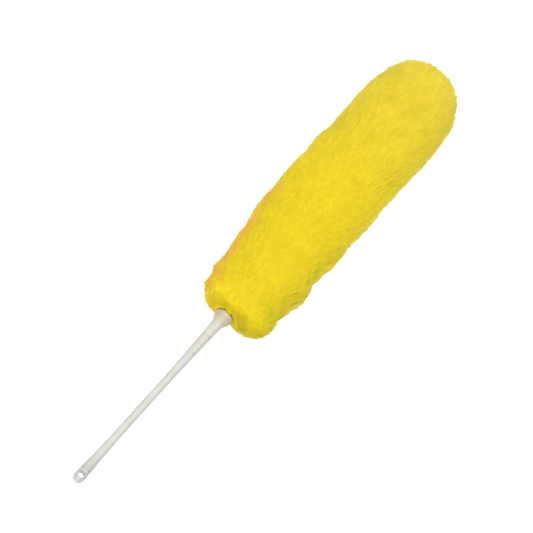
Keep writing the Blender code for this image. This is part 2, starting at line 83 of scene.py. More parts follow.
class NodeSheet:
    """A new material's node tree, with short calls that add nodes and join them."""

    def __init__(self, name: str) -> None:
        """Start a material that holds one Principled shader.

        Args:
            name: the material's name.
        """
        self.material = bpy.data.materials.new(name)
        self.material.use_nodes = True
        self.tree = self.material.node_tree
        self.shader = self.tree.nodes["Principled BSDF"]
        self.places = self.add("ShaderNodeTexCoord").outputs["Object"]

    def add(self, kind: str, values: Optional[dict[Any, Any]] = None, **settings: Any) -> bpy.types.Node:
        """Add a node.

        Args:
            kind: the node's type.
            values: numbers and colours for its inputs, by the input's name or place.
            settings: the node's own properties.

        Returns:
            The node.
        """
        node = self.tree.nodes.new(kind)
        for name, setting in settings.items():
            setattr(node, name, setting)
        for name, value in (values or {}).items():
            node.inputs[name].default_value = value
        return node

    def join(self, start: bpy.types.NodeSocket, end: bpy.types.NodeSocket) -> None:
        """Join an output to an input."""
        self.tree.links.new(start, end)

    def fix(self, **values: Any) -> None:
        """Set constant values on the shader's own sockets, with _ for each space in a socket's name."""
        for name, value in values.items():
            self.shader.inputs[name.replace("_", " ")].default_value = value

    def noise(self, scale: float, detail: float = 2.0, stretch: Sequence[float] = (1.0, 1.0, 1.0)) -> Any:
        """Add noise in the piece's own coordinates.

        Args:
            scale: cells a metre.
            detail: octaves of finer noise.
            stretch: how much each axis is scaled before the noise is read.

        Returns:
            The noise's value output.
        """
        mapping = self.add("ShaderNodeMapping", {"Scale": tuple(stretch)})
        self.join(self.places, mapping.inputs["Vector"])
        texture = self.add("ShaderNodeTexNoise", {"Scale": scale, "Detail": detail})
        self.join(mapping.outputs["Vector"], texture.inputs["Vector"])
        return texture.outputs["Fac"]

    def ranged(self, source: Any, span: Sequence[float], to: Sequence[float] = (0.0, 1.0)) -> Any:
        """Map a value smoothly from one range to another.

        Args:
            source: the value's output.
            span: the values at which the change starts and ends.
            to: what they become.

        Returns:
            The mapped value's output.
        """
        values = {"From Min": span[0], "From Max": span[1], "To Min": to[0], "To Max": to[1]}
        node = self.add("ShaderNodeMapRange", values, interpolation_type="SMOOTHSTEP")
        self.join(source, node.inputs["Value"])
        return node.outputs["Result"]

    def maths(self, operation: str, first: Any, second: Any) -> Any:
        """Join two values, each an output or a number.

        Args:
            operation: Blender's name for it.
            first: the first value.
            second: the second value.

        Returns:
            The answer's output.
        """
        node = self.add("ShaderNodeMath", operation=operation)
        for socket, value in zip(node.inputs, (first, second)):
            if isinstance(value, bpy.types.NodeSocket):
                self.join(value, socket)
            else:
                socket.default_value = value
        return node.outputs["Value"]

    def times(self, first: Any, second: Any) -> Any:
        """Return the product of two values, each an output or a number."""
        return self.maths("MULTIPLY", first, second)

    def plus(self, first: Any, second: Any) -> Any:
        """Return the sum of two values, each an output or a number."""
        return self.maths("ADD", first, second)

    def coordinates(self) -> tuple[Any, Any]:
        """Read the piece's own coordinates.

        Returns:
            The output of its x, and the output of its y.
        """
        parts = self.add("ShaderNodeSeparateXYZ")
        self.join(self.places, parts.inputs["Vector"])
        return parts.outputs["X"], parts.outputs["Y"]

    def ramp(self, source: Any, stops: Sequence[tuple[float, Colour]]) -> Any:
        """Turn a value into a colour.

        Args:
            source: the value's output.
            stops: places from 0 to 1, each with its colour.

        Returns:
            The colour's output.
        """
        node = self.add("ShaderNodeValToRGB")
        elements = node.color_ramp.elements
        while len(elements) < len(stops):
            elements.new(0.5)
        for element, (place, colour) in zip(elements, stops):
            element.position = place
            element.color = (*colour, 1.0)
        self.join(source, node.inputs["Fac"])
        return node.outputs["Color"]

    def blended(self, weight: Any, under: Any, over: Colour) -> Any:
        """Lay a colour over another.

        Args:
            weight: how much of it shows, an output.
            under: the colour below, an output.
            over: the colour on top.

        Returns:
            The blend's output.
        """
        node = self.add("ShaderNodeMix", data_type="RGBA")
        self.join(weight, node.inputs["Factor"])
        self.join(under, node.inputs[MIX_UNDER])
        node.inputs[MIX_OVER].default_value = (*over, 1.0)
        return node.outputs[MIX_RESULT]

    def coloured(self, colour: Any, lightness: Any) -> None:
        """Give the shader its colour, made lighter or darker.

        Args:
            colour: the colour, an output.
            lightness: what it is multiplied by, an output.
        """
        node = self.add("ShaderNodeHueSaturation")
        self.join(colour, node.inputs["Color"])
        self.join(lightness, node.inputs["Value"])
        self.join(node.outputs["Color"], self.shader.inputs["Base Color"])

    def bumped(self, height: Any, depth: float) -> None:
        """Give the shader a bump.

        Args:
            height: how high each place stands, an output.
            depth: the bump's depth in metres.
        """
        node = self.add("ShaderNodeBump", {"Distance": depth, "Strength": 1.0})
        self.join(height, node.inputs["Height"])
        self.join(node.outputs["Normal"], self.shader.inputs["Normal"])


@dataclass(frozen=True)
class Tint:
    """A colour that a plastic turns to along the duster: over which stretch, and how far."""

    colour: Colour
    reach: Span
    share: float = 1.0


@dataclass(frozen=True)
class MouldedPlastic:
    """Milky moulded plastic: flow clouds, fine speckle, drag lines along the piece and a satin gloss.

    Its sides are painted darker, the right side more than the left, as painted shade, and it can turn
    warmer along the duster.
    """

    name: str
    pale: Colour
    deep: Colour
    roughness: float
    milkiness: float = 0.15
    tints: tuple[Tint, ...] = ()
    left_painted_shade: float = 0.22
    left_span: Span = (0.10, 0.85)
    right_painted_shade: float = 0.29
    right_span: Span = (-0.05, -0.85)
    cloud_scale: float = 70.0
    cloud_share: float = 0.75
    cloud_span: Span = (0.36, 0.62)
    speckle_scale: float = 2600.0
    speckle_bump: float = 0.4
    drag_stretch: Triple = (0.06, 1.0, 1.0)
    drag_scale: float = 900.0
    drag_span: Span = (0.3, 0.7)
    gloss_swing: Span = (-0.07, 0.09)
    bump_depth: float = 0.00006
    glow_depth: float = 0.0025
    glow_reach: Triple = (1.0, 0.94, 0.82)
    ior: float = 1.49
    specular: float = 0.15

    def material(self) -> bpy.types.Material:
        """Build the finish.

        Returns:
            The material.
        """
        sheet = NodeSheet(self.name)
        clouds = sheet.noise(self.cloud_scale, detail=3.0)
        speckle = sheet.noise(self.speckle_scale, detail=1.0)
        drag = sheet.noise(self.drag_scale, detail=2.0, stretch=self.drag_stretch)
        fine = sheet.times(speckle, 1.0 - self.cloud_share)
        tone = sheet.plus(sheet.times(clouds, self.cloud_share), fine)
        colour = sheet.ramp(tone, list(zip(self.cloud_span, (self.deep, self.pale))))
        if self.tints:
            along = sheet.coordinates()[0]
            for tint in self.tints:
                share = sheet.ranged(along, tint.reach, (0.0, tint.share))
                colour = sheet.blended(share, colour, tint.colour)
        # Painted shade: the sides, read from the side layer, are darkened, the right side more than the
        # left.
        side = sheet.add("ShaderNodeAttribute", attribute_name=SIDE_LAYER).outputs["Fac"]
        left = sheet.ranged(side, self.left_span, (0.0, self.left_painted_shade))
        right = sheet.ranged(side, self.right_span, (0.0, self.right_painted_shade))
        sheet.coloured(colour, sheet.maths("SUBTRACT", 1.0, sheet.plus(left, right)))
        gloss = [self.roughness + swing for swing in self.gloss_swing]
        sheet.join(sheet.ranged(drag, self.drag_span, gloss), sheet.shader.inputs["Roughness"])
        sheet.fix(Subsurface_Weight=self.milkiness, Subsurface_Radius=self.glow_reach)
        sheet.fix(Subsurface_Scale=self.glow_depth, IOR=self.ior, Specular_IOR_Level=self.specular)
        sheet.bumped(sheet.plus(drag, sheet.times(speckle, self.speckle_bump)), self.bump_depth)
        return sheet.material


@dataclass(frozen=True)
class DrawnSteel:
    """Bright drawn steel wire: lengthwise die lines and slight tarnish."""

    name: str
    bright: Colour = (0.62, 0.61, 0.59)
    dull: Colour = (0.36, 0.34, 0.31)
    line_stretch: Triple = (0.04, 1.0, 1.0)
    line_scale: float = 3000.0
    line_span: Span = (0.3, 0.7)
    gloss_span: Span = (0.24, 0.42)
    tarnish_scale: float = 120.0
    tarnish_span: Span = (0.35, 0.6)
    bump_depth: float = 0.00002

    def material(self) -> bpy.types.Material:
        """Build the finish.

        Returns:
            The material.
        """
        sheet = NodeSheet(self.name)
        lines = sheet.noise(self.line_scale, detail=2.0, stretch=self.line_stretch)
        tarnish = sheet.noise(self.tarnish_scale, detail=4.0)
        colour = sheet.ramp(tarnish, list(zip(self.tarnish_span, (self.dull, self.bright))))
        sheet.join(colour, sheet.shader.inputs["Base Color"])
        sheet.join(sheet.ranged(lines, self.line_span, self.gloss_span), sheet.shader.inputs["Roughness"])
        sheet.fix(Metallic=1.0)
        sheet.bumped(lines, self.bump_depth)
        return sheet.material


@dataclass(frozen=True)
class Fleece:
    """Fibre, deeper golden towards the root and darker at the very end as painted shade, bright near the
    tip; warm dye on one flank, and greenish dye with painted shade on the other.
    """

    name: str
    root: Colour = (0.90, 0.60, 0.008)
    middle: Colour = (0.86, 0.65, 0.011)
    tip: Colour = (0.93, 0.75, 0.024)
    end: Colour = (0.63, 0.54, 0.024)
    warm: Colour = (0.95, 0.53, 0.05)
    green_dye_and_shade: Colour = (0.58, 0.57, 0.02)
    painted_shade: Colour = (0.30, 0.29, 0.008)
    pale: Colour = (0.76, 0.66, 0.11)
    painted_rim_light: Colour = (0.82, 0.71, 0.44)
    middle_place: float = 0.5
    tip_place: float = 0.86
    green_span: Span = (-0.022, -0.055)
    green_reach: Span = (0.14, -0.04)
    green_share: float = 0.60
    warm_share: float = 0.9
    painted_shade_share: float = 0.7
    pale_reach: Span = (0.10, 0.30)
    pale_share: float = 0.35
    painted_rim_light_share: float = 0.24
    lightness: float = 0.98
    swing: float = 0.068
    lively_reach: Span = (0.02, 0.24)
    lively_range: Span = (0.30, 1.0)
    tip_reach: Span = (0.265, 0.300)
    extra_range: Span = (0.0, 0.5)
    tone_span: Span = (0.2, 0.8)
    patch_scale: float = 45.0
    patch_share: float = 0.25
    patch_span: Span = (0.35, 0.65)
    patch_range: Span = (0.45, 1.0)
    streak_scale: float = 210.0
    streak_stretch: Triple = (0.4, 1.0, 1.0)
    streak_share: float = 0.2
    fibre_share: float = 0.55
    roughness: float = 0.85
    specular: float = 0.2
    sheen: float = 0.10
    sheen_roughness: float = 0.5
    sheen_tint: Colour = (1.0, 0.92, 0.45)
    matted: bool = False
    mat_scale: float = 900.0
    mat_stretch: Triple = (0.35, 1.0, 1.0)
    mat_depth: float = 0.0008

    def material(self) -> bpy.types.Material:
        """Build the finish.

        Returns:
            The material.
        """
        sheet = NodeSheet(self.name)
        patches = sheet.noise(self.patch_scale, detail=2.0)
        layer = sheet.add("ShaderNodeAttribute", attribute_name=FIBRE_LAYER)
        parts = sheet.add("ShaderNodeSeparateColor")
        sheet.join(layer.outputs["Color"], parts.inputs["Color"])
        if self.matted:
            strand = sheet.noise(self.mat_scale, detail=3.0, stretch=self.mat_stretch)
            tone = patches
        else:
            strand = parts.outputs["Red"]
            streaks = sheet.noise(self.streak_scale, detail=2.0, stretch=self.streak_stretch)
            streaks = sheet.times(streaks, self.streak_share)
            wide = sheet.plus(sheet.times(patches, self.patch_share), streaks)
            tone = sheet.plus(sheet.times(parts.outputs["Green"], self.fibre_share), wide)
        # Along each fibre the colour runs darker towards the root, as painted shade deep in the pile, and
        # darker again at the very end, as painted shade along the outline.
        places = (0.0, self.middle_place, self.tip_place, 1.0)
        colour = sheet.ramp(strand, list(zip(places, (self.root, self.middle, self.tip, self.end))))

        along, across = sheet.coordinates()
        wander = sheet.ranged(patches, self.patch_span, self.patch_range)
        # The right flank turns greenish and darker: partly greenish dye, partly painted shade.
        aside = sheet.ranged(across, self.green_span)
        green_and_shade = sheet.times(aside, sheet.ranged(along, self.green_reach))
        green_and_shade = sheet.times(green_and_shade, sheet.times(wander, self.green_share))
        colour = sheet.blended(green_and_shade, colour, self.green_dye_and_shade)
        paleness = sheet.times(sheet.ranged(along, self.pale_reach), self.pale_share)
        colour = sheet.blended(paleness, colour, self.pale)
        warmth = sheet.times(layer.outputs["Alpha"], sheet.times(wander, self.warm_share))
        colour = sheet.blended(warmth, colour, self.warm)
        # Painted rim light: where the head turns sideways, as the rim layer marks, the fibres are made
        # paler and lighter.
        rim = sheet.add("ShaderNodeAttribute", attribute_name=RIM_LAYER).outputs["Fac"]
        colour = sheet.blended(sheet.times(rim, self.painted_rim_light_share), colour, self.painted_rim_light)
        # Painted shade: the Blue channel darkens the creases, the base round the collar and the tip's end
        # where it turns down.
        colour = sheet.blended(sheet.times(parts.outputs["Blue"], self.painted_shade_share), colour, self.painted_shade)

        lively = sheet.ranged(along, self.lively_reach, self.lively_range)
        lively = sheet.plus(lively, sheet.ranged(along, self.tip_reach, self.extra_range))
        # On the right flank the tone swings wider, as painted shade between the locks.
        lively = sheet.plus(lively, sheet.ranged(across, self.green_span, self.extra_range))
        swing = sheet.times(sheet.ranged(tone, self.tone_span, (-self.swing, self.swing)), lively)
        sheet.coloured(colour, sheet.plus(swing, self.lightness))
        sheet.fix(Roughness=self.roughness, Specular_IOR_Level=self.specular, Sheen_Weight=self.sheen)
        sheet.fix(Sheen_Roughness=self.sheen_roughness, Sheen_Tint=(*self.sheen_tint, 1.0))
        if self.matted:
            sheet.bumped(strand, self.mat_depth)
        return sheet.material


@dataclass(frozen=True)
class DusterAxis:
    """The line that the duster is built about, read from the frame."""

    tail: float
    height: float

    @classmethod
    def of_frame(cls) -> "DusterAxis":
        """Read the axis from the CAD model's boxes.

        Returns:
            The axis, with its tail from the hanging eye and its height from the tube.
        """
        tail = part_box("hang_eye")[0].x
        low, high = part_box("handle_tube")
        return cls(tail=tail, height=(low.z + high.z) / 2)

    def along(self, x: float) -> float:
        """Return how far a place in the frame lies from the duster's tail."""
        return x - self.tail

    def matrix(self) -> Matrix:
        """Return the shift from the duster's own coordinates to the frame's."""
        return Matrix.Translation((self.tail, 0.0, self.height))


def spaced(start: float, end: float, steps: int) -> list[float]:
    """Return steps + 1 evenly spaced values from start to end."""
    return [start + (end - start) * step / steps for step in range(steps + 1)]


def eased(value: Any) -> Any:
    """Return a value held between 0 and 1 and eased at both ends."""
    held = np.clip(value, 0.0, 1.0)
    return held * held * (3.0 - 2.0 * held)


def risen(value: Any, start: float, length: float) -> Any:
    """Return how far a value has risen past a start, over a length, eased from 0 to 1."""
    return eased((value - start) / length)


def corner_rows(mesh: bpy.types.Mesh, what: str = "co") -> np.ndarray:
    """Read a mesh's corners.

    Args:
        mesh: the mesh.
        what: the corners' attribute that is read, their places unless it is said.

    Returns:
        An array with a row of three numbers for each corner.
    """
    flat = np.empty(len(mesh.vertices) * 3, np.float32)
    mesh.vertices.foreach_get(what, flat)
    return flat.reshape(-1, 3)


def written(shape: bmesh.types.BMesh, name: str) -> bpy.types.Mesh:
    """Write a bmesh to a new mesh, and free it.

    Args:
        shape: the bmesh.
        name: the mesh's name.

    Returns:
        The mesh.
    """
    mesh = bpy.data.meshes.new(name)
    shape.to_mesh(mesh)
    shape.free()
    return mesh


def placed(name: str, data: Any) -> bpy.types.Object:
    """Put a mesh, a lamp or a camera in the scene.

    Args:
        name: the object's name.
        data: the mesh, lamp or camera.

    Returns:
        The object.
    """
    obj = bpy.data.objects.new(name, data)
    bpy.context.scene.collection.objects.link(obj)
    return obj


def lathed(outline: Outline, closed: bool, steps: int) -> bmesh.types.BMesh:
    """Turn an outline about the X axis.

    Args:
        outline: the points, each a place along the axis and a radius.
        closed: True if the last point joins the first.
        steps: how many faces go round.

    Returns:
        A bmesh with its doubles merged and its faces outward.
    """
    shape = bmesh.new()
    corners = [shape.verts.new((along, radius, 0.0)) for along, radius in outline]
    edges = [shape.edges.new(pair) for pair in zip(corners, corners[1:])]
    if closed:
        edges.append(shape.edges.new((corners[-1], corners[0])))
    bmesh.ops.spin(
        shape,
        geom=corners + edges,
        axis=(1.0, 0.0, 0.0),
        cent=(0.0, 0.0, 0.0),
        angle=math.tau,
        steps=steps,
        use_merge=True,
    )
    bmesh.ops.remove_doubles(shape, verts=shape.verts, dist=MERGE_DISTANCE)
    bmesh.ops.recalc_face_normals(shape, faces=shape.faces)
    return shape


def rounded(outline: Outline, radius: float, points: Iterable[int], steps: int = 4) -> Outline:
    """Round corners of an outline with arcs.

    Args:
        outline: the points.
        radius: the arc's radius.
        points: which points are rounded.
        steps: how many pieces an arc has.

    Returns:
        The outline with each such corner replaced by an arc that is tangent to both sides.
    """
    chosen = set(points)
    result: Outline = []
    for index, place in enumerate(outline):
        if index not in chosen:
            result.append(place)
            continue
        corner = Vector(place)
        before = (Vector(outline[index - 1]) - corner).normalized()
        after = (Vector(outline[(index + 1) % len(outline)]) - corner).normalized()
        half = before.angle(after) / 2
        start = corner + before * (radius / math.tan(half))
        end = corner + after * (radius / math.tan(half))
        for share in spaced(0.0, 1.0, steps):
            near = start.lerp(corner, share)
            far = corner.lerp(end, share)
            result.append(tuple(near.lerp(far, share)))
    return result


class Workshop:
    """Turns finished meshes into pieces that ride the duster and stand for its CAD nodes."""

    def __init__(self, axis: DusterAxis) -> None:
        """Keep the axis that every piece is placed about.

        Args:
            axis: the duster's axis.
        """
        self.axis = axis

    def piece(
        self, name: str, mesh: bpy.types.Mesh, material: bpy.types.Material, slot: Slot, stands_for: str
    ) -> bpy.types.Object:
        """Put a mesh in the scene as a piece that replaces a CAD node.

        Args:
            name: the piece's name.
            mesh: its mesh, in the duster's own coordinates.
            material: its finish.
            slot: the slot for that finish; not used.
            stands_for: the CAD node that it replaces.

        Returns:
            The piece, at the origin and unturned.
        """
        if not mesh.attributes.get(FIBRE_LAYER):
            self.mark_sides(mesh)
        mesh.transform(self.axis.matrix())
        mesh.materials.clear()
        mesh.materials.append(material)
        obj = placed(name, mesh)
        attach(obj, BODY)
        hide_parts(stands_for)
        log.info("%s: %d faces", name, len(mesh.polygons))
        return obj

    @staticmethod
    def mark_sides(mesh: bpy.types.Mesh) -> None:
        """Store how far to the left or right of the axis each corner faces, from -1 to 1, for the plastics'
        painted side shade.

        Args:
            mesh: the mesh, in the duster's own coordinates.
        """
        places = corner_rows(mesh)
        across, up = places[:, 1], places[:, 2]
        sides = across / np.maximum(np.hypot(across, up), ON_AXIS)
        layer = mesh.attributes.new(SIDE_LAYER, "FLOAT", "POINT")
        layer.data.foreach_set("value", sides.astype(np.float32))

    @staticmethod
    def mesh_of(shape: bmesh.types.BMesh, name: str, sharp: float = math.radians(35.0)) -> bpy.types.Mesh:
        """Write a bmesh to a new mesh, shaded smooth but for its sharp edges.

        Args:
            shape: the bmesh, which is freed.
            name: the mesh's name.
            sharp: the angle past which an edge stays sharp.

        Returns:
            The mesh.
        """
        mesh = written(shape, name)
        mesh.shade_smooth()
        mesh.set_sharp_from_angle(angle=sharp)
        return mesh


@dataclass
class HangEye:
    """The end plug: a bullet with two soft flats, a cross hole and a spigot in the tube."""

    workshop: Workshop
    finish: MouldedPlastic
    length: float = 0.0167
    radius: float = 0.00695
    nose_length: float = 0.0091
    nose_reach: float = 0.0004
    bluntness: float = 0.88
    shoulder_radius: float = 0.0060
    thickness: float = 0.0096
    hole_radius: float = 0.0033
    hole_end_wall: float = 0.0061
    spigot_radius: float = 0.0027
    spigot_length: float = 0.014
    edge_rounding: float = 0.0005
    rim_length: float = 0.0012
    run_out: float = 0.0024
    flat_softness: float = 0.0006
    mouth_angle: float = math.radians(45.0)
    mouth_reach: float = 1.05
    mouth_steps: int = 4
    side_steps: int = 24
    nose_steps: int = 32
    steps: int = 128

    def outline(self) -> Outline:
        """Draw the plug's outline.

        Returns:
            The points, from the spigot's end over the shoulder to the nose.
        """
        spigot_end = self.length + self.spigot_length
        points: Outline = [
            (spigot_end, 0.0),
            (spigot_end, self.spigot_radius - self.edge_rounding),
            (spigot_end - self.edge_rounding, self.spigot_radius),
            (self.length, self.spigot_radius),
            (self.length, self.shoulder_radius),
        ]
        for share in spaced(0.0, 1.0, self.side_steps)[1:]:
            along = self.length + (self.nose_length - self.length) * share
            swell = 1.0 - (1.0 - share) ** 2
            radius = self.shoulder_radius + (self.radius - self.shoulder_radius) * swell
            points.append((along - self.nose_reach * share, radius))
        for angle in spaced(math.pi / 2, 0.0, self.nose_steps)[1:]:
            along = self.nose_length * (1.0 - math.cos(angle) ** self.bluntness)
            points.append((along - self.nose_reach, self.radius * math.sin(angle) ** self.bluntness))
        return points

    def press_flats(self, shape: bmesh.types.BMesh) -> None:
        """Press both flats, with soft edges, so that they run out just before the round shoulder.

        Args:
            shape: the turned plug, whose corners are moved.
        """
        half = self.thickness / 2
        soft = self.flat_softness
        for corner in shape.verts:
            height = abs(corner.co.z)
            over = height - half
            if over <= -soft:
                continue
            flat = half if over >= soft else height - (over + soft) ** 2 / (4 * soft)
            share = float(risen(self.length - self.rim_length, corner.co.x, self.run_out))
            corner.co.z = math.copysign(height + (flat - height) * share, corner.co.z)

    def drilled(self, mesh: bpy.types.Mesh) -> bpy.types.Mesh:
        """Drill the cross hole.

        Args:
            mesh: the plug without its hole.

        Returns:
            A new mesh with the hole.
        """
        drill = bmesh.new()
        bmesh.ops.create_cone(
            drill,
            cap_ends=True,
            segments=self.steps // 2,
            radius1=self.hole_radius,
            radius2=self.hole_radius,
            depth=2 * self.thickness,
            matrix=Matrix.Translation((self.hole_end_wall + self.hole_radius, 0.0, 0.0)),
        )
        cutter = placed("eye_drill", Workshop.mesh_of(drill, "eye_drill"))
        blank = placed("eye_blank", mesh)
        boolean = blank.modifiers.new("Hole", "BOOLEAN")
        boolean.object = cutter
        boolean.operation = "DIFFERENCE"
        boolean.solver = "EXACT"
        bpy.context.view_layer.update()
        ready = blank.evaluated_get(bpy.context.evaluated_depsgraph_get())
        result = bpy.data.meshes.new_from_object(ready)
        for obj in (cutter, blank):
            spare = obj.data
            bpy.data.objects.remove(obj)
            bpy.data.meshes.remove(spare)
        return result

    def build(self) -> bpy.types.Object:
        """Turn, press and drill the plug.

        Returns:
            The finished plug.
        """
        shape = lathed(self.outline(), closed=False, steps=self.steps)
        self.press_flats(shape)
        drilled = self.drilled(Workshop.mesh_of(shape, "hang_eye"))
        shape = bmesh.new()
        shape.from_mesh(drilled)
        bpy.data.meshes.remove(drilled)
        bmesh.ops.remove_doubles(shape, verts=shape.verts, dist=MERGE_DISTANCE)
        centre = self.hole_end_wall + self.hole_radius
        reach = self.hole_radius * self.mouth_reach
        sharp = [
            edge
            for edge in shape.edges
            if edge.calc_face_angle(0.0) > self.mouth_angle
            and all(math.hypot(end.co.x - centre, end.co.y) < reach for end in edge.verts)
        ]
        bmesh.ops.bevel(
            shape,
            geom=sharp,
            offset=self.edge_rounding,
            offset_type="OFFSET",
            affect="EDGES",
            segments=self.mouth_steps,
            profile=0.5,
            material=-1,
            clamp_overlap=True,
        )
        bmesh.ops.triangulate(shape, faces=[face for face in shape.faces if len(face.verts) > 4])
        mesh = Workshop.mesh_of(shape, "hang_eye")
        material = self.finish.material()
        return self.workshop.piece("hanging_eye", mesh, material, Slot.CLEAR_PLASTIC, "hang_eye")


@dataclass
class HandleTube:
    """The waisted tube: a curved taper at the tail, a straight one at the head, and parting lines."""

    workshop: Workshop
    finish: MouldedPlastic
    tail_radius: float = 0.0063
    waist_radius: float = 0.0049
    head_radius: float = 0.0061
    tail_taper: float = 0.085
    head_taper: float = 0.064
    end_swell: float = 0.0003
    end_swell_length: float = 0.013
    end_swell_rise: float = 0.007
    bore_radius: float = 0.0030
    socket_radius: float = 0.00385
    socket_depth: float = 0.056
    neck_radius: float = 0.00495
    neck_length: float = 0.016
    edge_rounding: float = 0.0008
    step_rounding: float = 0.00025
    seam_height: float = 0.00008
    outside_from: float = 0.98
    stations: int = 110
    steps: int = 96

    def radius(self, along: float, start: float, step: float) -> float:
        """Return the outer radius at a place.

        Args:
            along: the place.
            start: where the tube starts.
            step: where its outer surface ends.

        Returns:
            The radius there.
        """
        tail = max(0.0, (start + self.tail_taper - along) / self.tail_taper)
        head = max(0.0, (along - step + self.head_taper) / self.head_taper)
        grown = (self.tail_radius - self.waist_radius) * tail * tail
        swell = risen(start + self.end_swell_length, along, self.end_swell_rise)
        grown += self.end_swell * float(swell)
        return self.waist_radius + grown + (self.head_radius - self.waist_radius) * head

    def build(self) -> bpy.types.Object:
        """Turn the tube and raise its parting lines.

        Returns:
            The finished tube.
        """
        low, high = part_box("handle_tube")
        start, end = self.workshop.axis.along(low.x), self.workshop.axis.along(high.x)
        step = end - self.neck_length
        outline: Outline = [(end, self.socket_radius), (end, self.neck_radius), (step, self.neck_radius)]
        shoulder = len(outline)
        for along in spaced(step, start, self.stations):
            outline.append((along, self.radius(along, start, step)))
        last = len(outline) - 1
        outline += [
            (start, self.bore_radius),
            (end - self.socket_depth, self.bore_radius),
            (end - self.socket_depth, self.socket_radius),
        ]
        outline = rounded(outline, self.edge_rounding, (last,))
        outline = rounded(outline, self.step_rounding, (shoulder,))
        shape = lathed(outline, closed=True, steps=self.steps)
        seam_width = math.tau / self.steps
        for corner in shape.verts:
            radius = math.hypot(corner.co.y, corner.co.z)
            outside = radius > self.waist_radius * self.outside_from and start < corner.co.x < step
            if outside and abs(corner.co.z) < radius * seam_width / 2:
                corner.co.y *= 1.0 + self.seam_height / radius
        mesh = Workshop.mesh_of(shape, "handle_tube")
        material = self.finish.material()
        return self.workshop.piece("handle", mesh, material, Slot.WHITE_PLASTIC, "handle_tube")


@dataclass
class Collar:
    """The collar: a sleeve over the tube's neck, a flared cone and a rounded lip round the pile's root."""

    workshop: Workshop
    finish: MouldedPlastic
    sleeve_start_radius: float = 0.00625
    sleeve_end_radius: float = 0.0070
    sleeve_length: float = 0.0178
    flare_length: float = 0.0055
    shoulder_drop: float = 0.0011
    lip_depth: float = 0.0050
    lip_radius: float = 0.0109
    cup_mouth_radius: float = 0.0074
    cup_floor_radius: float = 0.0052
    web_thickness: float = 0.003
    seam_reach: float = 0.0002
    neck_bore_radius: float = 0.00525
    neck_bore_depth: float = 0.0163
    wire_bore_radius: float = 0.0026
    throat_rounding: float = 0.0020
    end_rounding: float = 0.00025
    sharp_angle: float = math.radians(50.0)
    lip_steps: int = 20
    cone_steps: int = 8
    throat_steps: int = 8
    steps: int = 96

    def build(self) -> bpy.types.Object:
        """Turn the collar.

        Returns:
            The finished collar.
        """
        low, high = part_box("collar")
        start, end = self.workshop.axis.along(low.x), self.workshop.axis.along(high.x)
        web = start + self.neck_bore_depth
        floor = web + self.web_thickness
        flare = start + self.sleeve_length
        start -= self.seam_reach
        outline: Outline = [(floor, self.wire_bore_radius), (floor, self.cup_floor_radius)]
        drop = self.lip_radius - self.cup_mouth_radius
        for angle in spaced(0.0, math.pi / 2, self.lip_steps):
            along = end - self.lip_depth * (1.0 - math.cos(angle))
            outline.append((along, self.cup_mouth_radius + drop * math.sin(angle)))
        crown, shoulder = end - self.lip_depth, flare + self.flare_length
        for share in spaced(0.0, 1.0, self.cone_steps)[1:]:
            radius = self.lip_radius - self.shoulder_drop * share**2
            outline.append((crown + (shoulder - crown) * share, radius))
        throat = len(outline)
        outline += [
            (flare, self.sleeve_end_radius),
            (start, self.sleeve_start_radius),
            (start, self.neck_bore_radius),
            (web, self.neck_bore_radius),
            (web, self.wire_bore_radius),
        ]
        outline = rounded(outline, self.end_rounding, (throat + 1,))
        outline = rounded(outline, self.throat_rounding, (throat,), steps=self.throat_steps)
        shape = lathed(outline, closed=True, steps=self.steps)
        mesh = Workshop.mesh_of(shape, "collar", sharp=self.sharp_angle)
        material = self.finish.material()
        return self.workshop.piece("flared_collar", mesh, material, Slot.CREAM_PLASTIC, "collar")


@dataclass
class Core:
    """The inner pieces, which keep their CAD shapes: wire, bush, crimp sleeve and tip cap."""

    steel: DrawnSteel
    plastic: MouldedPlastic

    def dress(self) -> None:
        """Give each inner piece its finish."""
        steel = self.steel.material()
        plastic = self.plastic.material()
        finishes = {"core_wire": steel, "crimp_sleeve": steel, "core_bush": plastic, "tip_cap": plastic}
        for node, material in finishes.items():
            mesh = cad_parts[node].data
            mesh.materials.clear()
            mesh.materials.append(material)
            log.info("%s: dressed", node)


@dataclass
class Meridian:
    """The head's outline round the base, along the side and over the tip, by distance run."""

    distance: np.ndarray
    along: np.ndarray
    radius: np.ndarray

    @classmethod
    def through(cls, along: np.ndarray, radius: np.ndarray) -> "Meridian":
        """Return the meridian through these points."""
        run = np.hypot(np.diff(along), np.diff(radius))
        return cls(np.concatenate([[0.0], np.cumsum(run)]), along, radius)

    @property
    def length(self) -> float:
        """The whole distance, from the collar to the tip."""
        return float(self.distance[-1])

    def place(self, distance: np.ndarray) -> tuple[np.ndarray, np.ndarray]:
        """Return the place along the axis and the radius at each distance."""
        along = np.interp(distance, self.distance, self.along)
        return along, np.interp(distance, self.distance, self.radius)

    def slope(self, distance: np.ndarray, reach: float = 0.002) -> tuple[np.ndarray, np.ndarray]:
        """Return the unit direction in which the outline runs at each distance.

        Args:
            distance: the distances.
            reach: how far each way the direction is taken over.

        Returns:
            Its part along the axis and its part outward.
        """
        near = np.clip(distance - reach, 0.0, self.length)
        far = np.clip(distance + reach, 0.0, self.length)
        start, end = self.place(near), self.place(far)
        along, outward = end[0] - start[0], end[1] - start[1]
        size = np.maximum(np.hypot(along, outward), SMALLEST)
        return along / size, outward / size

    def spread(
        self, count: int, stations: int = 4000, least: float = 0.0005
    ) -> tuple[np.ndarray, np.ndarray]:
        """Spread points evenly over the head's surface, along a golden spiral.

        Args:
            count: how many.
            stations: how finely the surface's area is summed up.
            least: the radius that is counted where the outline is narrower.

        Returns:
            Each point's distance along the outline and its angle.
        """
        fine = np.linspace(0.0, self.length, stations)
        area = np.cumsum(np.maximum(self.place(fine)[1], least))
        shares = (np.arange(count) + 0.5) / count
        distance = np.interp(shares, area / area[-1], fine)
        return distance, np.mod(np.arange(count) * GOLDEN_ANGLE, math.tau)


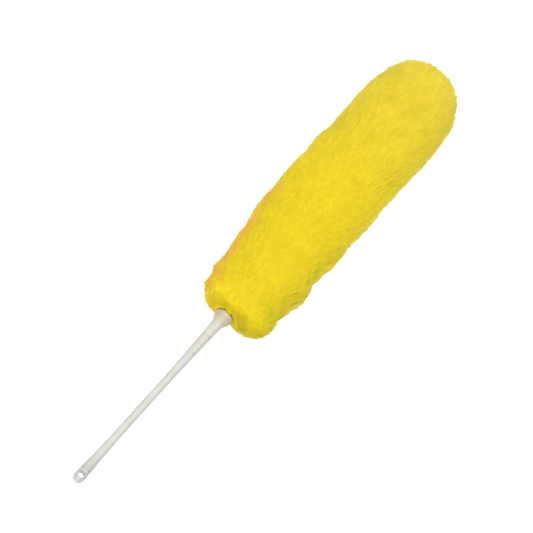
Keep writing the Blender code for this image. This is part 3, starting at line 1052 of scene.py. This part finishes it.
@dataclass(frozen=True)
class Wave:
    """A wave on the head: how fast it runs along, how often it goes round and where it starts."""

    along: float
    around: float
    start: float = 0.0

    def at(self, run: np.ndarray, angle: np.ndarray) -> np.ndarray:
        """Return the wave's height at each place, from -1 to 1."""
        return np.sin(run * self.along + self.around * angle + self.start)


@dataclass
class HeadShape:
    """The head's outer form: a turned outline, swept at the collar, with uneven flanks and relief.

    A span named after where something starts holds the start and the length that it rises over.
    """

    axis: DusterAxis
    length: float = 0.3650
    base_radius: float = 0.0452
    swell_length: float = 0.112
    base_round: float = 0.022
    base_power: float = 2.5
    tip_round: float = 0.060
    tip_power: float = 2.15
    neck_radius: float = 0.0035
    lobe_depth: float = 0.0013
    lobe_share: float = 0.35
    lobe_fade: float = 0.030
    swell_height: float = 0.0005
    swells: tuple[Wave, Wave] = (Wave(150.0, 3.0, 0.7), Wave(95.0, -2.0, 1.9))
    ripple_height: float = 0.0004
    ripples: tuple[Wave, Wave] = (Wave(330.0, -5.0), Wave(260.0, 4.0, 2.4))
    twist_lead: float = 0.1066
    first_crest: float = 0.0175
    sweep_length: float = 0.055
    sweep_mean: float = 0.60
    sweep_tilt: float = 0.20
    base_aside: float = 0.00085
    tip_aside: float = 0.0018
    top_lap: float = 0.0026
    top_lap_width: float = 0.0030
    upper_steepness: float = 2.0
    side_lap_from: float = 0.45
    side_lap_span: float = 0.8
    side_lap_cut: float = 0.25
    lap_fade: float = 2.0
    left_lap: Profile = (
        (0.0076, 0.0), (0.010, 0.0052), (0.0114, 0.0068), (0.016, 0.0054), (0.023, 0.0066),
        (0.028, 0.0066), (0.032, 0.0056), (0.036, 0.0018), (0.042, 0.0022),
    )
    right_lap: Profile = (
        (0.0076, 0.0), (0.010, 0.0026), (0.0114, 0.0036), (0.0136, 0.0028), (0.018, 0.0046),
        (0.023, 0.0038), (0.027, 0.0076), (0.032, 0.0088), (0.042, 0.0082), (0.048, 0.0030),
    )
    lip_radius: float = 0.0110
    lip_mouth: float = 0.0074
    lip_depth: float = 0.0050
    lip_gap: float = 0.0002
    floor_gap: float = 0.0003
    floor_soft: float = 0.012
    deepest: float = -0.0075
    first_crease: float = 0.036
    crease_pitch: float = 0.0183
    crease_width: float = 0.0030
    crease_depth: float = 0.0022
    crease_slant: float = 1.1
    crease_side_start: Span = (0.60, 0.30)
    crease_start: Span = (0.024, 0.008)
    crease_end_start: Span = (0.09, 0.07)
    warm_side_start: Span = (0.74, 0.22)
    warm_at_base: float = 0.45
    warm_start: Span = (0.005, 0.03)
    warm_end_start: Span = (0.08, 0.10)
    stations: int = 3000
    left_flank: Profile = (
        (0.000, 0.0), (0.006, -0.0027), (0.012, -0.0024), (0.021, -0.0068), (0.026, -0.0066),
        (0.034, -0.0014), (0.040, -0.0036), (0.050, -0.0048), (0.057, -0.0056), (0.066, -0.0028),
        (0.071, -0.0044), (0.080, -0.0032), (0.090, -0.0032), (0.098, -0.0017), (0.103, -0.0024),
        (0.108, -0.0002), (0.114, 0.0009), (0.122, 0.0003), (0.150, 0.0013), (0.164, 0.0022),
        (0.180, 0.0019), (0.195, 0.0018), (0.205, 0.0013), (0.218, 0.0026), (0.226, 0.0006),
        (0.233, -0.0016), (0.255, 0.0002), (0.275, -0.0008), (0.300, 0.0), (0.325, -0.0028),
        (0.340, -0.0026), (0.350, 0.0003), (0.358, 0.0006), (0.365, 0.0),
    )
    right_flank: Profile = (
        (0.000, 0.0010), (0.006, 0.0034), (0.012, 0.0060), (0.016, 0.0045), (0.023, 0.0044),
        (0.036, 0.0022), (0.044, 0.0028), (0.053, 0.0040), (0.064, 0.0049), (0.072, 0.0048),
        (0.080, 0.0016), (0.090, -0.0016), (0.098, -0.0002), (0.106, -0.0004), (0.116, 0.0013),
        (0.130, 0.0014), (0.136, 0.0018), (0.146, -0.0004), (0.155, 0.0005), (0.177, 0.0),
        (0.191, 0.0007), (0.205, -0.0004), (0.230, -0.0007), (0.258, 0.0007), (0.286, 0.0006),
        (0.313, -0.0008), (0.330, -0.0010), (0.345, -0.0026), (0.356, 0.0), (0.365, 0.0),
    )

    def __post_init__(self) -> None:
        """Read the head's place and its greatest radius from the frame."""
        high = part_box("pile")[1]
        self.end = self.axis.along(high.x)
        self.start = self.end - self.length
        self.radius = high.y - self.lobe_depth
        self.lip_end = self.axis.along(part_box("collar")[1].x)
        share = (1.0 - np.cos(np.linspace(0.0, math.pi, self.stations))) / 2
        run = share * self.length
        radius = self.side_radius(run)
        kept = (radius > self.neck_radius) | (run > self.length / 2)
        self.line = Meridian.through(self.start + run[kept], radius[kept])

    def side_radius(self, run: np.ndarray) -> np.ndarray:
        """Shape the blunt base, the slow swell and the domed tip.

        Args:
            run: distances along the head's axis from its start.

        Returns:
            The mean radius at each.
        """
        radius = self.base_radius + (self.radius - self.base_radius) * eased(run / self.swell_length)
        base = np.clip(1.0 - run / self.base_round, 0.0, 1.0)
        radius = radius * (1.0 - base**self.base_power) ** (1.0 / self.base_power)
        tip = np.clip(1.0 - (self.length - run) / self.tip_round, 0.0, 1.0)
        return radius * (1.0 - tip**self.tip_power) ** (1.0 / self.tip_power)

    def relief(self, along: np.ndarray, angle: np.ndarray) -> np.ndarray:
        """Return how far the surface stands proud of its mean: lobes, swells, ripples and creases.

        Args:
            along: places along the axis.
            angle: angles round it, from +Y towards +Z.

        Returns:
            The height at each.
        """
        run = along - self.start
        fade = np.clip(np.minimum(run, self.length - run) / self.lobe_fade, 0.0, 1.0)
        turn = math.tau * (run - self.first_crest) / self.twist_lead
        lobes = self.lobe_depth * self.lobe_share * np.cos(2.0 * (angle + turn))
        swells = self.swells[0].at(run, angle) * self.swells[1].at(run, angle)
        ripples = self.ripples[0].at(run, angle) * self.ripples[1].at(run, angle)
        proud = fade * (lobes + self.swell_height * swells + self.ripple_height * ripples)
        return proud - self.crease_depth * self.creases(run, angle)

    def creases(self, run: np.ndarray, angle: np.ndarray) -> np.ndarray:
        """Lay the slanting creases of the right flank.

        Args:
            run: places along the head.
            angle: angles round its axis.

        Returns:
            How deep in the creases each lies, from 0 to 1.
        """
        level = np.clip(-np.cos(angle), 0.0, 1.0)
        inward = self.radius * (1.0 - level)
        phase = (run - self.first_crease - self.crease_slant * inward) / self.crease_pitch
        gap = np.abs(phase - np.round(phase)) * self.crease_pitch
        reach = risen(level, *self.crease_side_start) * risen(run, *self.crease_start)
        reach = reach * (1.0 - risen(run, *self.crease_end_start))
        return np.exp(-((gap / self.crease_width) ** 2)) * reach

    def warmth(self, run: np.ndarray, angle: np.ndarray) -> np.ndarray:
        """Lay the warm dye on the left flank of the collar's half.

        Args:
            run: places along the head.
            angle: angles round its axis.

        Returns:
            How warm the dye looks at each, from 0 to 1.
        """
        rim = risen(np.cos(angle), *self.warm_side_start)
        rising = self.warm_at_base + (1.0 - self.warm_at_base) * risen(run, *self.warm_start)
        return rim * rising * (1.0 - risen(run, *self.warm_end_start))

    def sculpted(self, places: np.ndarray) -> np.ndarray:
        """Turn places on or in the round head into the real one's.

        The head is swept flatter above and below the collar, laps round its lip and has uneven flanks.

        Args:
            places: an array of x, y and z in the duster's own coordinates.

        Returns:
            The places, clear of the collar's lip and of the floor.
        """
        run = places[..., 0] - self.start
        reach = np.maximum(np.hypot(places[..., 1], places[..., 2]), SMALLEST)
        level = places[..., 1] / reach
        rise = places[..., 2] / reach
        tilted = self.sweep_mean + self.sweep_tilt * rise
        sweep = rise**2 * tilted * (1.0 - eased(run / self.sweep_length))
        swept = reach - np.maximum(reach - self.lip_radius, 0.0) * sweep
        left = level > 0.0
        flank = np.where(left, read_off(self.left_flank, run), -read_off(self.right_flank, run))
        flank = flank * np.abs(level)
        top_lap = self.top_lap * risen(swept, self.lip_mouth, self.top_lap_width)
        side_lap = np.where(left, read_off(self.left_lap, swept), read_off(self.right_lap, swept))
        upper = eased(rise * self.upper_steepness)
        side_span = self.side_lap_span - self.side_lap_cut * upper
        lap = top_lap + (side_lap - top_lap) * risen(np.abs(level), self.side_lap_from * upper, side_span)
        result = places.copy()
        result[..., 0] -= lap * (1.0 - eased(run / (self.lap_fade * self.base_round)))
        aside = self.base_aside + (self.tip_aside - self.base_aside) * run / self.length
        result[..., 1] = level * swept + flank * np.minimum(swept / self.base_radius, 1.0) + aside
        result[..., 2] = rise * swept
        return self.settled(self.past_lip(result))

    def past_lip(self, places: np.ndarray) -> np.ndarray:
        """Move what would lie in the collar's rounded lip to just past it.

        Args:
            places: an array of x, y and z in the duster's own coordinates.

        Returns:
            The places, clear of the lip.
        """
        reach = np.hypot(places[..., 1], places[..., 2])
        rise = np.clip((reach - self.lip_mouth) / (self.lip_radius - self.lip_mouth), 0.0, 1.0)
        edge = self.lip_end - self.lip_depth * (1.0 - np.sqrt(1.0 - rise * rise)) + self.lip_gap
        result = places.copy()
        result[..., 0] = np.where(reach < self.lip_radius, np.maximum(places[..., 0], edge), places[..., 0])
        return result

    def settled(self, places: np.ndarray) -> np.ndarray:
        """Press what would reach below the floor gently flat, just above it.

        Args:
            places: an array of x, y and z in the duster's own coordinates.

        Returns:
            The places, above the floor.
        """
        height = places[..., 2] + self.axis.height
        squeeze = (self.floor_soft - self.floor_gap) / (self.floor_soft - self.deepest)
        pressed = self.floor_gap + np.maximum(height - self.deepest, 0.0) * squeeze
        result = places.copy()
        result[..., 2] = np.where(height < self.floor_soft, pressed, height) - self.axis.height
        return result

    def lifted(self, distance: np.ndarray, angle: np.ndarray, lift: np.ndarray) -> np.ndarray:
        """Return places over or under the round head's surface.

        Args:
            distance: how far each lies along the outline.
            angle: its angle round the axis.
            lift: its height over the mean surface.

        Returns:
            An array of x, y and z.
        """
        along, radius = self.line.place(distance)
        run_along, run_out = self.line.slope(distance)
        along = along - run_out * lift
        radius = radius + run_along * lift
        return np.stack([along, radius * np.cos(angle), radius * np.sin(angle)], axis=-1)

    def outward(self, distance: np.ndarray, angle: np.ndarray, reach: float = 0.003) -> np.ndarray:
        """Return the way straight out of the sculpted surface.

        Args:
            distance: how far each place lies along the outline.
            angle: its angle round the axis.
            reach: how far each way the surface is looked at.

        Returns:
            An array of unit vectors.
        """
        inner = np.clip(distance, reach, self.line.length - reach)
        level = np.zeros_like(distance)
        turn = reach / np.maximum(self.line.place(inner)[1], reach)
        forward = self.sculpted(self.lifted(inner + reach, angle, level))
        forward -= self.sculpted(self.lifted(inner - reach, angle, level))
        round_axis = self.sculpted(self.lifted(inner, angle + turn, level))
        round_axis -= self.sculpted(self.lifted(inner, angle - turn, level))
        return unit(np.cross(round_axis, forward))


def read_off(profile: Profile, places: np.ndarray) -> np.ndarray:
    """Return a profile's height at each place along it."""
    stations, heights = zip(*profile)
    return np.interp(places, stations, heights)


def unit(vectors: np.ndarray) -> np.ndarray:
    """Return vectors scaled to a length of one."""
    return vectors / np.maximum(np.linalg.norm(vectors, axis=-1, keepdims=True), SMALLEST)


@dataclass
class PileHead:
    """The fluffy head: a matted body round the wire, under tapering fibres that lean to the tip."""

    workshop: Workshop
    fibre_finish: Fleece
    body_finish: Fleece
    fibre_count: int = 170000
    fibre_radius: float = 0.00028
    fibre_depth: float = 0.0075
    fibre_lean: float = 0.0125
    base_lean_share: float = 0.55
    base_lean_length: float = 0.03
    tip_lean_share: float = 0.15
    tip_lean_length: float = 0.085
    fibre_bow: float = 0.0012
    fibre_jitter: float = 0.0006
    root_jitter: float = 0.0008
    lean_spread: float = 0.15
    depth_spread: float = 0.08
    width_spread: float = 0.15
    tone_spread: float = 0.12
    least_around: float = 0.004
    lip_spread: float = 0.010
    mouth_lap: float = 0.0016
    lock_count: int = 17000
    lock_pull: float = 0.78
    lock_jitter: float = 0.0008
    lock_sway: float = 0.0020
    lock_rise: float = 0.0009
    lock_tone: float = 0.22
    fibre_rise: float = 0.0004
    tip_rise_share: float = 0.6
    tuft_reach: float = 0.09
    tuft_share: float = 1.1
    tuft_sink: float = 0.0002
    under_share: float = 0.35
    under_depth: float = 0.0010
    proud: float = 0.0008
    fullness: float = 1.6
    soft_normal: float = 0.80
    upturn: float = 0.7
    upturn_reach: float = 0.032
    end_shade: float = 0.90
    end_shade_turn: float = 0.20
    under_fade: float = 1.2
    base_shade: float = 0.24
    base_shade_turn: float = 0.40
    lip_shade_share: float = 0.15
    lip_shade_length: float = 0.012
    base_shade_length: float = 0.035
    crease_shade: float = 0.62
    rim_from: float = 0.38
    rim_tilt: float = math.radians(18.0)
    band_count: int = 10
    body_sink: float = 0.0032
    base_sink: float = 0.0011
    sink_start: float = 0.004
    sink_length: float = 0.008
    bore_gap: float = 0.0004
    cap_gap: float = 0.0003
    mouth_gap: float = 0.0002
    outer_from: float = 2.0
    side_end: float = 0.032
    side_stations: int = 84
    base_from: float = 0.030
    base_stations: int = 21
    body_reach: float = 0.006
    body_sharp: float = math.radians(60.0)
    body_steps: int = 128
    seed: int = 11

    def __post_init__(self) -> None:
        """Shape the head, and start the drawing of chances."""
        self.shape = HeadShape(self.workshop.axis)
        self.line = self.shape.line
        self.random = np.random.default_rng(self.seed)

    def fibre_template(self, count: int) -> bpy.types.Mesh:
        """Return a mesh of identical unit fibres, one in the place of the other.

        Args:
            count: how many.

        Returns:
            The mesh. Each fibre is a closed three-sided spike along Z from 0 to 1, with a full ring.
        """
        near = 0.001
        shape = bmesh.new()
        bmesh.ops.create_cone(
            shape,
            cap_ends=True,
            cap_tris=True,
            segments=3,
            radius1=1.0,
            radius2=0.0,
            depth=1.0,
            matrix=Matrix.Translation((0.0, 0.0, 0.5)),
        )
        bmesh.ops.remove_doubles(shape, verts=shape.verts, dist=near)
        centre = [corner for corner in shape.verts if corner.co.length < near]
        bmesh.ops.dissolve_verts(shape, verts=centre)
        bmesh.ops.bisect_plane(
            shape,
            geom=[*shape.verts, *shape.edges, *shape.faces],
            plane_co=(0.0, 0.0, 0.5),
            plane_no=(0.0, 0.0, 1.0),
        )
        ring = [corner for corner in shape.verts if abs(corner.co.z - 0.5) < near]
        bmesh.ops.scale(shape, vec=(self.fullness, self.fullness, 1.0), verts=ring)
        bmesh.ops.triangulate(shape, faces=shape.faces)
        bmesh.ops.recalc_face_normals(shape, faces=shape.faces)
        mesh = written(shape, "fibre")
        holder = placed("fibre_copies", mesh)
        array = holder.modifiers.new("Copies", "ARRAY")
        array.use_relative_offset = False
        array.count = count
        bpy.context.view_layer.update()
        ready = holder.evaluated_get(bpy.context.evaluated_depsgraph_get())
        result = bpy.data.meshes.new_from_object(ready)
        bpy.data.objects.remove(holder)
        bpy.data.meshes.remove(mesh)
        return result

    def locks(self) -> tuple[kdtree.KDTree, np.ndarray, np.ndarray, np.ndarray, np.ndarray]:
        """Choose the points that neighbouring fibres are drawn towards.

        Returns:
            A tree of the points, and each one's distance, angle, height and tone.
        """
        count = self.lock_count
        normal = self.random.normal
        distance, angle = self.line.spread(count)
        around = np.maximum(self.line.place(distance)[1], self.least_around)
        distance = distance + normal(0.0, self.lock_jitter, count)
        angle = angle + normal(0.0, self.lock_jitter, count) / around
        tree = kdtree.KDTree(count)
        for index, place in enumerate(self.shape.lifted(distance, angle, np.zeros(count))):
            tree.insert(place, index)
        tree.balance()
        distance = distance + normal(0.0, self.lock_sway, count)
        angle = angle + normal(0.0, self.lock_sway, count) / around
        height = self.random.uniform(-self.lock_rise, self.lock_rise, count)
        return tree, distance, angle, height, normal(0.0, self.lock_tone, count)

    def fibres(self) -> list[bpy.types.Mesh]:
        """Grow every fibre.

        Returns:
            One mesh for each band of the head, from its base to its tip.
        """
        count = self.fibre_count
        normal = self.random.normal
        line, shape = self.line, self.shape
        distance, angle = line.spread(count)
        least = shape.lip_radius - self.mouth_lap
        hidden = distance < least
        distance = np.where(hidden, least + self.lip_spread * distance / least, distance)
        distance = np.clip(distance + normal(0.0, self.fibre_jitter, count), least, line.length)
        along, radius = line.place(distance)
        around = np.maximum(radius, self.least_around)
        tree, lock_distance, lock_angle, lock_height, lock_tone = self.locks()
        surface = shape.lifted(distance, angle, np.zeros(count))
        nearest = np.array([tree.find(place)[1] for place in surface])

        past_base = eased(distance / self.base_lean_length)
        before_tip = risen(line.length, distance, self.tip_lean_length)
        lean = self.fibre_lean * (1.0 + normal(0.0, self.lean_spread, count))
        lean *= self.base_lean_share + (1.0 - self.base_lean_share) * past_base
        lean *= self.tip_lean_share + (1.0 - self.tip_lean_share) * before_tip
        depth = self.fibre_depth * (1.0 + normal(0.0, self.depth_spread, count))
        root_distance = np.clip(distance - lean, shape.lip_mouth, line.length)
        root_angle = angle + normal(0.0, self.root_jitter, count) / around

        under = self.random.random(count) < self.under_share
        pull = np.where(under, 0.0, self.lock_pull)
        tip_distance = distance + pull * (lock_distance[nearest] - distance)
        tip_distance = tip_distance + normal(0.0, self.fibre_jitter, count)
        turn = np.mod(lock_angle[nearest] - angle + math.pi, math.tau) - math.pi
        tip_angle = angle + pull * turn + normal(0.0, self.fibre_jitter, count) / around
        relief = shape.relief(along, angle)
        rise = np.where(under, -self.under_depth, self.proud + lock_height[nearest])
        at_tip = 1.0 - risen(line.length, distance, self.tuft_reach)
        rise += at_tip * np.where(under, 0.0, self.tuft_share * lock_height[nearest] - self.tuft_sink)
        lift = relief + rise + normal(0.0, self.fibre_rise, count) * (1.0 + self.tip_rise_share * at_tip)

        tip_distance = np.clip(tip_distance, least, line.length)
        root = shape.lifted(root_distance, root_angle, relief - depth)
        tip = shape.lifted(tip_distance, tip_angle, lift)
        bow = shape.lifted(distance, angle, np.full(count, self.fibre_bow)) - surface
        middle = (root + tip) / 2 + bow
        curve = tuple(shape.sculpted(part) for part in (root, middle, tip))
        outward = shape.outward(distance, angle)
        facing = outward.copy()
        at_lip = 1.0 - risen(distance, shape.lip_radius, self.upturn_reach)
        facing[:, 2] += self.upturn * at_lip * eased(0.5 + np.sin(angle))
        facing = unit(facing)
        width = self.fibre_radius * (1.0 + normal(0.0, self.width_spread, count))
        paint = np.zeros((count, 4), np.float32)
        paint[:, 1] = np.clip(0.5 + normal(0.0, self.tone_spread, count) + lock_tone[nearest], 0.0, 1.0)
        paint[:, 2:] = self.tones(distance, along - shape.start, angle, outward)

        meshes = []
        edges = np.linspace(0, count, self.band_count + 1).astype(int)
        for band, (first, last) in enumerate(zip(edges, edges[1:])):
            chosen = slice(first, last)
            mesh = self.fibre_template(last - first)
            parts = tuple(part[chosen] for part in curve)
            self.shape_fibres(mesh, parts, facing[chosen], width[chosen], paint[chosen])
            # The rim layer marks where the head turns sideways to a direction tilted back from straight up;
            # the fleece paints rim light there.
            upward = math.cos(self.rim_tilt) * outward[chosen, 2]
            upward = upward - math.sin(self.rim_tilt) * outward[chosen, 0]
            rim = eased((self.rim_from - np.abs(upward)) / self.rim_from).astype(np.float32)
            layer = mesh.attributes.new(RIM_LAYER, "FLOAT", "POINT")
            layer.data.foreach_set("value", np.repeat(rim, len(mesh.vertices) // (last - first)))
            mesh.name = f"pile_fibres_{band + 1:02d}"
            meshes.append(mesh)
        return meshes

    def tones(
        self, distance: np.ndarray, run: np.ndarray, angle: np.ndarray, outward: np.ndarray
    ) -> np.ndarray:
        """Return how deep in painted shade each place is and how warm it is dyed, each from 0 to 1.

        Args:
            distance: how far each place lies along the outline.
            run: how far it lies along the head.
            angle: its angle round the axis.
            outward: the way out of the head there.

        Returns:
            An array of pairs.
        """
        shape = self.shape
        # Painted shade: the tip's end where it turns down, the base round the collar and the creases are
        # marked darker.
        endward = np.clip(outward[:, 0], 0.0, 1.0)
        turned = np.minimum(eased(0.5 - outward[:, 2]), self.end_shade_turn)
        turned = turned * eased(1.0 + self.under_fade * outward[:, 2])
        shaded = self.end_shade * endward * turned
        at_base = 1.0 - risen(distance, shape.base_radius, self.base_shade_length)
        at_lip = 1.0 - risen(distance, shape.lip_radius, self.lip_shade_length)
        at_base *= 1.0 - (1.0 - self.lip_shade_share) * at_lip
        shaded += self.base_shade * (1.0 - self.base_shade_turn * np.cos(angle)) * at_base
        depth = np.clip(self.crease_shade * shape.creases(run, angle) + shaded, 0.0, 1.0)
        return np.stack([depth, shape.warmth(run, angle)], axis=-1)

    def shape_fibres(
        self,
        mesh: bpy.types.Mesh,
        curve: tuple[np.ndarray, ...],
        outward: np.ndarray,
        width: np.ndarray,
        paint: np.ndarray,
    ) -> None:
        """Bend each unit fibre of a mesh along its curve, soften its normals and paint its layer.

        Args:
            mesh: the mesh of unit fibres.
            curve: where each fibre starts, the point that it bends over and where it ends.
            outward: the way out of the head at each fibre.
            width: its radius at the root.
            paint: for each fibre nothing yet, how light it is dyed, how deep in painted shade and how warm.
        """
        root, middle, tip = curve
        count = len(root)
        spike = corner_rows(mesh).reshape(count, -1, 3)
        share = spike[:, :, 2:3]
        way = unit(tip - root)
        side = unit(np.cross(way, self.random.normal(0.0, 1.0, (count, 3))))
        across = np.cross(way, side)
        bend = root[:, None] * (1.0 - share) ** 2
        bend = bend + middle[:, None] * 2.0 * share * (1.0 - share)
        bend = bend + tip[:, None] * share**2
        offset = side[:, None] * spike[:, :, 0:1] + across[:, None] * spike[:, :, 1:2]
        places = bend + offset * width[:, None, None]
        mesh.vertices.foreach_set("co", places.astype(np.float32).ravel())
        layer = mesh.color_attributes.new(FIBRE_LAYER, "FLOAT_COLOR", "POINT")
        spread = np.repeat(paint[:, None], spike.shape[1], axis=1)
        spread[:, :, 0:1] = share
        layer.data.foreach_set("color", spread.ravel())
        mesh.shade_smooth()
        mesh.update()
        soft = unit(outward[:, None] * self.soft_normal + unit(offset) * (1.0 - self.soft_normal))
        mesh.normals_split_custom_set_from_vertices(soft.reshape(-1, 3))

    def body(self) -> bpy.types.Mesh:
        """Turn and sculpt the matted body.

        Returns:
            The body, with the bore that the wire and its cap lie in.
        """
        axis, line = self.workshop.axis, self.line
        cap_low, cap_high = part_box("tip_cap")
        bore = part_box("core_wire")[1].y + self.bore_gap
        pocket = cap_high.y + self.cap_gap
        cap_start = axis.along(cap_low.x) - self.cap_gap
        cap_end = axis.along(cap_high.x) + self.cap_gap
        side = np.linspace(line.length, self.side_end, self.side_stations)
        distance = np.concatenate([side, np.linspace(self.base_from, 0.0, self.base_stations)])
        along, radius = line.place(distance)
        run_along, run_out = line.slope(distance, reach=self.body_reach)
        deeper = risen(distance, self.sink_start, self.sink_length)
        sink = self.base_sink + (self.body_sink - self.base_sink) * deeper
        along = along + run_out * sink
        radius = np.maximum(radius - run_along * sink, bore)
        radius[0] = 0.0
        kept = along > self.shape.start + self.base_sink - self.mouth_gap
        outline: Outline = [(float(a), float(r)) for a, r in zip(along[kept], radius[kept])]
        outline.append((outline[-1][0], bore))
        outline += [(cap_start, bore), (cap_start, pocket), (cap_end, pocket), (cap_end, 0.0)]
        shape = lathed(outline, closed=False, steps=self.body_steps)
        inner = self.outer_from * pocket
        outer = [corner for corner in shape.verts if math.hypot(corner.co.y, corner.co.z) > inner]
        places = np.array([corner.co for corner in outer])
        angle = np.arctan2(places[:, 2], places[:, 1])
        reach = np.hypot(places[:, 1], places[:, 2])
        places[:, 1:] *= (1.0 + self.shape.relief(places[:, 0], angle) / reach)[:, None]
        for corner, place in zip(outer, self.shape.sculpted(places)):
            corner.co = place
        mesh = Workshop.mesh_of(shape, "pile_body", sharp=self.body_sharp)
        self.paint_body(mesh)
        return mesh

    def paint_body(self, mesh: bpy.types.Mesh) -> None:
        """Give the body the same painted shade and warm dye as the fibres over it.

        Args:
            mesh: the body's mesh.
        """
        places = corner_rows(mesh)
        outward = corner_rows(mesh, "normal")
        run = places[:, 0] - self.shape.start
        reach = np.hypot(places[:, 1], places[:, 2])
        distance = np.minimum(reach, self.shape.base_radius) + np.maximum(run, 0.0)
        paint = np.zeros((len(places), 4), np.float32)
        paint[:, 2:] = self.tones(distance, run, np.arctan2(places[:, 2], places[:, 1]), outward)
        layer = mesh.color_attributes.new(FIBRE_LAYER, "FLOAT_COLOR", "POINT")
        layer.data.foreach_set("color", paint.ravel())

    def build(self) -> None:
        """Build the body and the fibres."""
        roots = self.body_finish.material()
        self.workshop.piece("pile_body", self.body(), roots, Slot.FLEECE, "pile")
        material = self.fibre_finish.material()
        for mesh in self.fibres():
            self.workshop.piece(mesh.name, mesh, material, Slot.FLEECE, "pile")


@dataclass
class Studio:
    """The plain pale floor, the soft light and the camera."""

    axis: DusterAxis
    tilt: float = math.radians(18.0)
    roll: float = math.radians(47.94)
    aim_past_middle: float = 0.0143
    aim_aside: float = 0.0020
    camera_distance: float = 20.0
    frame_width: float = 0.5745
    sensor_width: float = 36.0
    clip_end: float = 100.0
    floor_size: float = 60.0
    floor_glow: float = 0.5
    floor_roughness: float = 0.9
    floor_specular: float = 0.1
    floor_cloud_scale: float = 3.0
    floor_shades: tuple[Colour, Colour] = ((0.95, 0.95, 0.95), (0.97, 0.97, 0.97))
    sky: Colour = (1.38, 1.38, 1.38)
    key_strength: float = 1.05
    key_spread: float = math.radians(50.0)
    key_from: Triple = (-0.10, 0.08, 1.0)

    def build_floor(self) -> None:
        """Lay the floor."""
        shape = bmesh.new()
        bmesh.ops.create_grid(shape, x_segments=1, y_segments=1, size=self.floor_size / 2)
        mesh = written(shape, "floor")
        sheet = NodeSheet("pale_floor")
        colour = sheet.ramp(sheet.noise(self.floor_cloud_scale), list(enumerate(self.floor_shades)))
        sheet.join(colour, sheet.shader.inputs["Base Color"])
        sheet.fix(Roughness=self.floor_roughness, Specular_IOR_Level=self.floor_specular)
        sheet.fix(Emission_Color=(1.0, 1.0, 1.0, 1.0), Emission_Strength=self.floor_glow)
        mesh.materials.append(sheet.material)
        placed("floor", mesh)

    def build_light(self) -> None:
        """Light the scene: an even white sky, and one wide soft lamp on the camera's side."""
        world = bpy.data.worlds.new("studio")
        world.use_nodes = True
        world.node_tree.nodes["Background"].inputs["Color"].default_value = (*self.sky, 1.0)
        bpy.context.scene.world = world
        lamp = bpy.data.lights.new("key", "SUN")
        lamp.energy = self.key_strength
        lamp.angle = self.key_spread
        holder = placed("key", lamp)
        holder.rotation_euler = Vector(self.key_from).to_track_quat("Z", "Y").to_euler()

    def build_camera(self) -> None:
        """Set the camera: it looks down past the handle's end, and the duster runs up to the right."""
        lens_space = bpy.data.cameras.new("camera")
        lens_space.sensor_width = self.sensor_width
        lens_space.lens = self.sensor_width * self.camera_distance / self.frame_width
        lens_space.clip_end = self.clip_end
        camera = placed("camera", lens_space)
        back = Vector((-math.sin(self.tilt), 0.0, math.cos(self.tilt)))
        up_axis = Vector((math.cos(self.tilt), 0.0, math.sin(self.tilt)))
        side = Vector((0.0, 1.0, 0.0))
        right = up_axis * math.cos(self.roll) - side * math.sin(self.roll)
        up = up_axis * math.sin(self.roll) + side * math.cos(self.roll)
        aim = Vector((self.aim_past_middle, self.aim_aside, self.axis.height))
        turn = Matrix((right, up, back)).transposed().to_4x4()
        camera.matrix_world = Matrix.Translation(aim + back * self.camera_distance) @ turn
        bpy.context.scene.camera = camera

    def build(self) -> None:
        """Build the studio."""
        bpy.context.scene.view_settings.view_transform = "Standard"
        self.build_camera()
        self.build_floor()
        self.build_light()


def main() -> None:
    """Build the studio and every piece of the duster."""
    logging.basicConfig(level=logging.INFO, format="%(message)s")
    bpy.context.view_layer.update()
    axis = DusterAxis.of_frame()
    workshop = Workshop(axis)
    Studio(axis).build()

    warm = (0.44, 0.40, 0.28)
    # The pinkish tint lightens the collar's lip: partly its own pinkish tone, partly painted light glowing
    # through the translucent lip.
    rosy_painted_glow = (0.66, 0.60, 0.47)
    dense = (0.41, 0.41, 0.385)
    clear = MouldedPlastic(
        "clear_plastic", pale=(0.435, 0.44, 0.425), deep=(0.375, 0.38, 0.365), roughness=0.40
    )
    white = MouldedPlastic(
        "milky_plastic",
        pale=(0.480, 0.480, 0.446),
        deep=(0.440, 0.440, 0.408),
        roughness=0.45,
        tints=(Tint(warm, (-0.15, -0.06), 0.30), Tint(dense, (-0.270, -0.285))),
    )
    cream = MouldedPlastic(
        "cream_plastic",
        pale=(0.520, 0.510, 0.462),
        deep=(0.475, 0.465, 0.418),
        roughness=0.45,
        milkiness=0.5,
        tints=(Tint(warm, (-0.076, -0.064)), Tint(rosy_painted_glow, (-0.0630, -0.0565))),
    )
    inner = MouldedPlastic(
        "inner_plastic", pale=(0.58, 0.57, 0.53), deep=(0.48, 0.47, 0.43), roughness=0.50
    )
    HangEye(workshop, clear).build()
    HandleTube(workshop, white).build()
    Collar(workshop, cream).build()
    Core(DrawnSteel("drawn_steel"), inner).dress()
    PileHead(workshop, Fleece("fleece_fibre"), Fleece("fleece_roots", matted=True)).build()


if __name__ == "__main__":
    main()
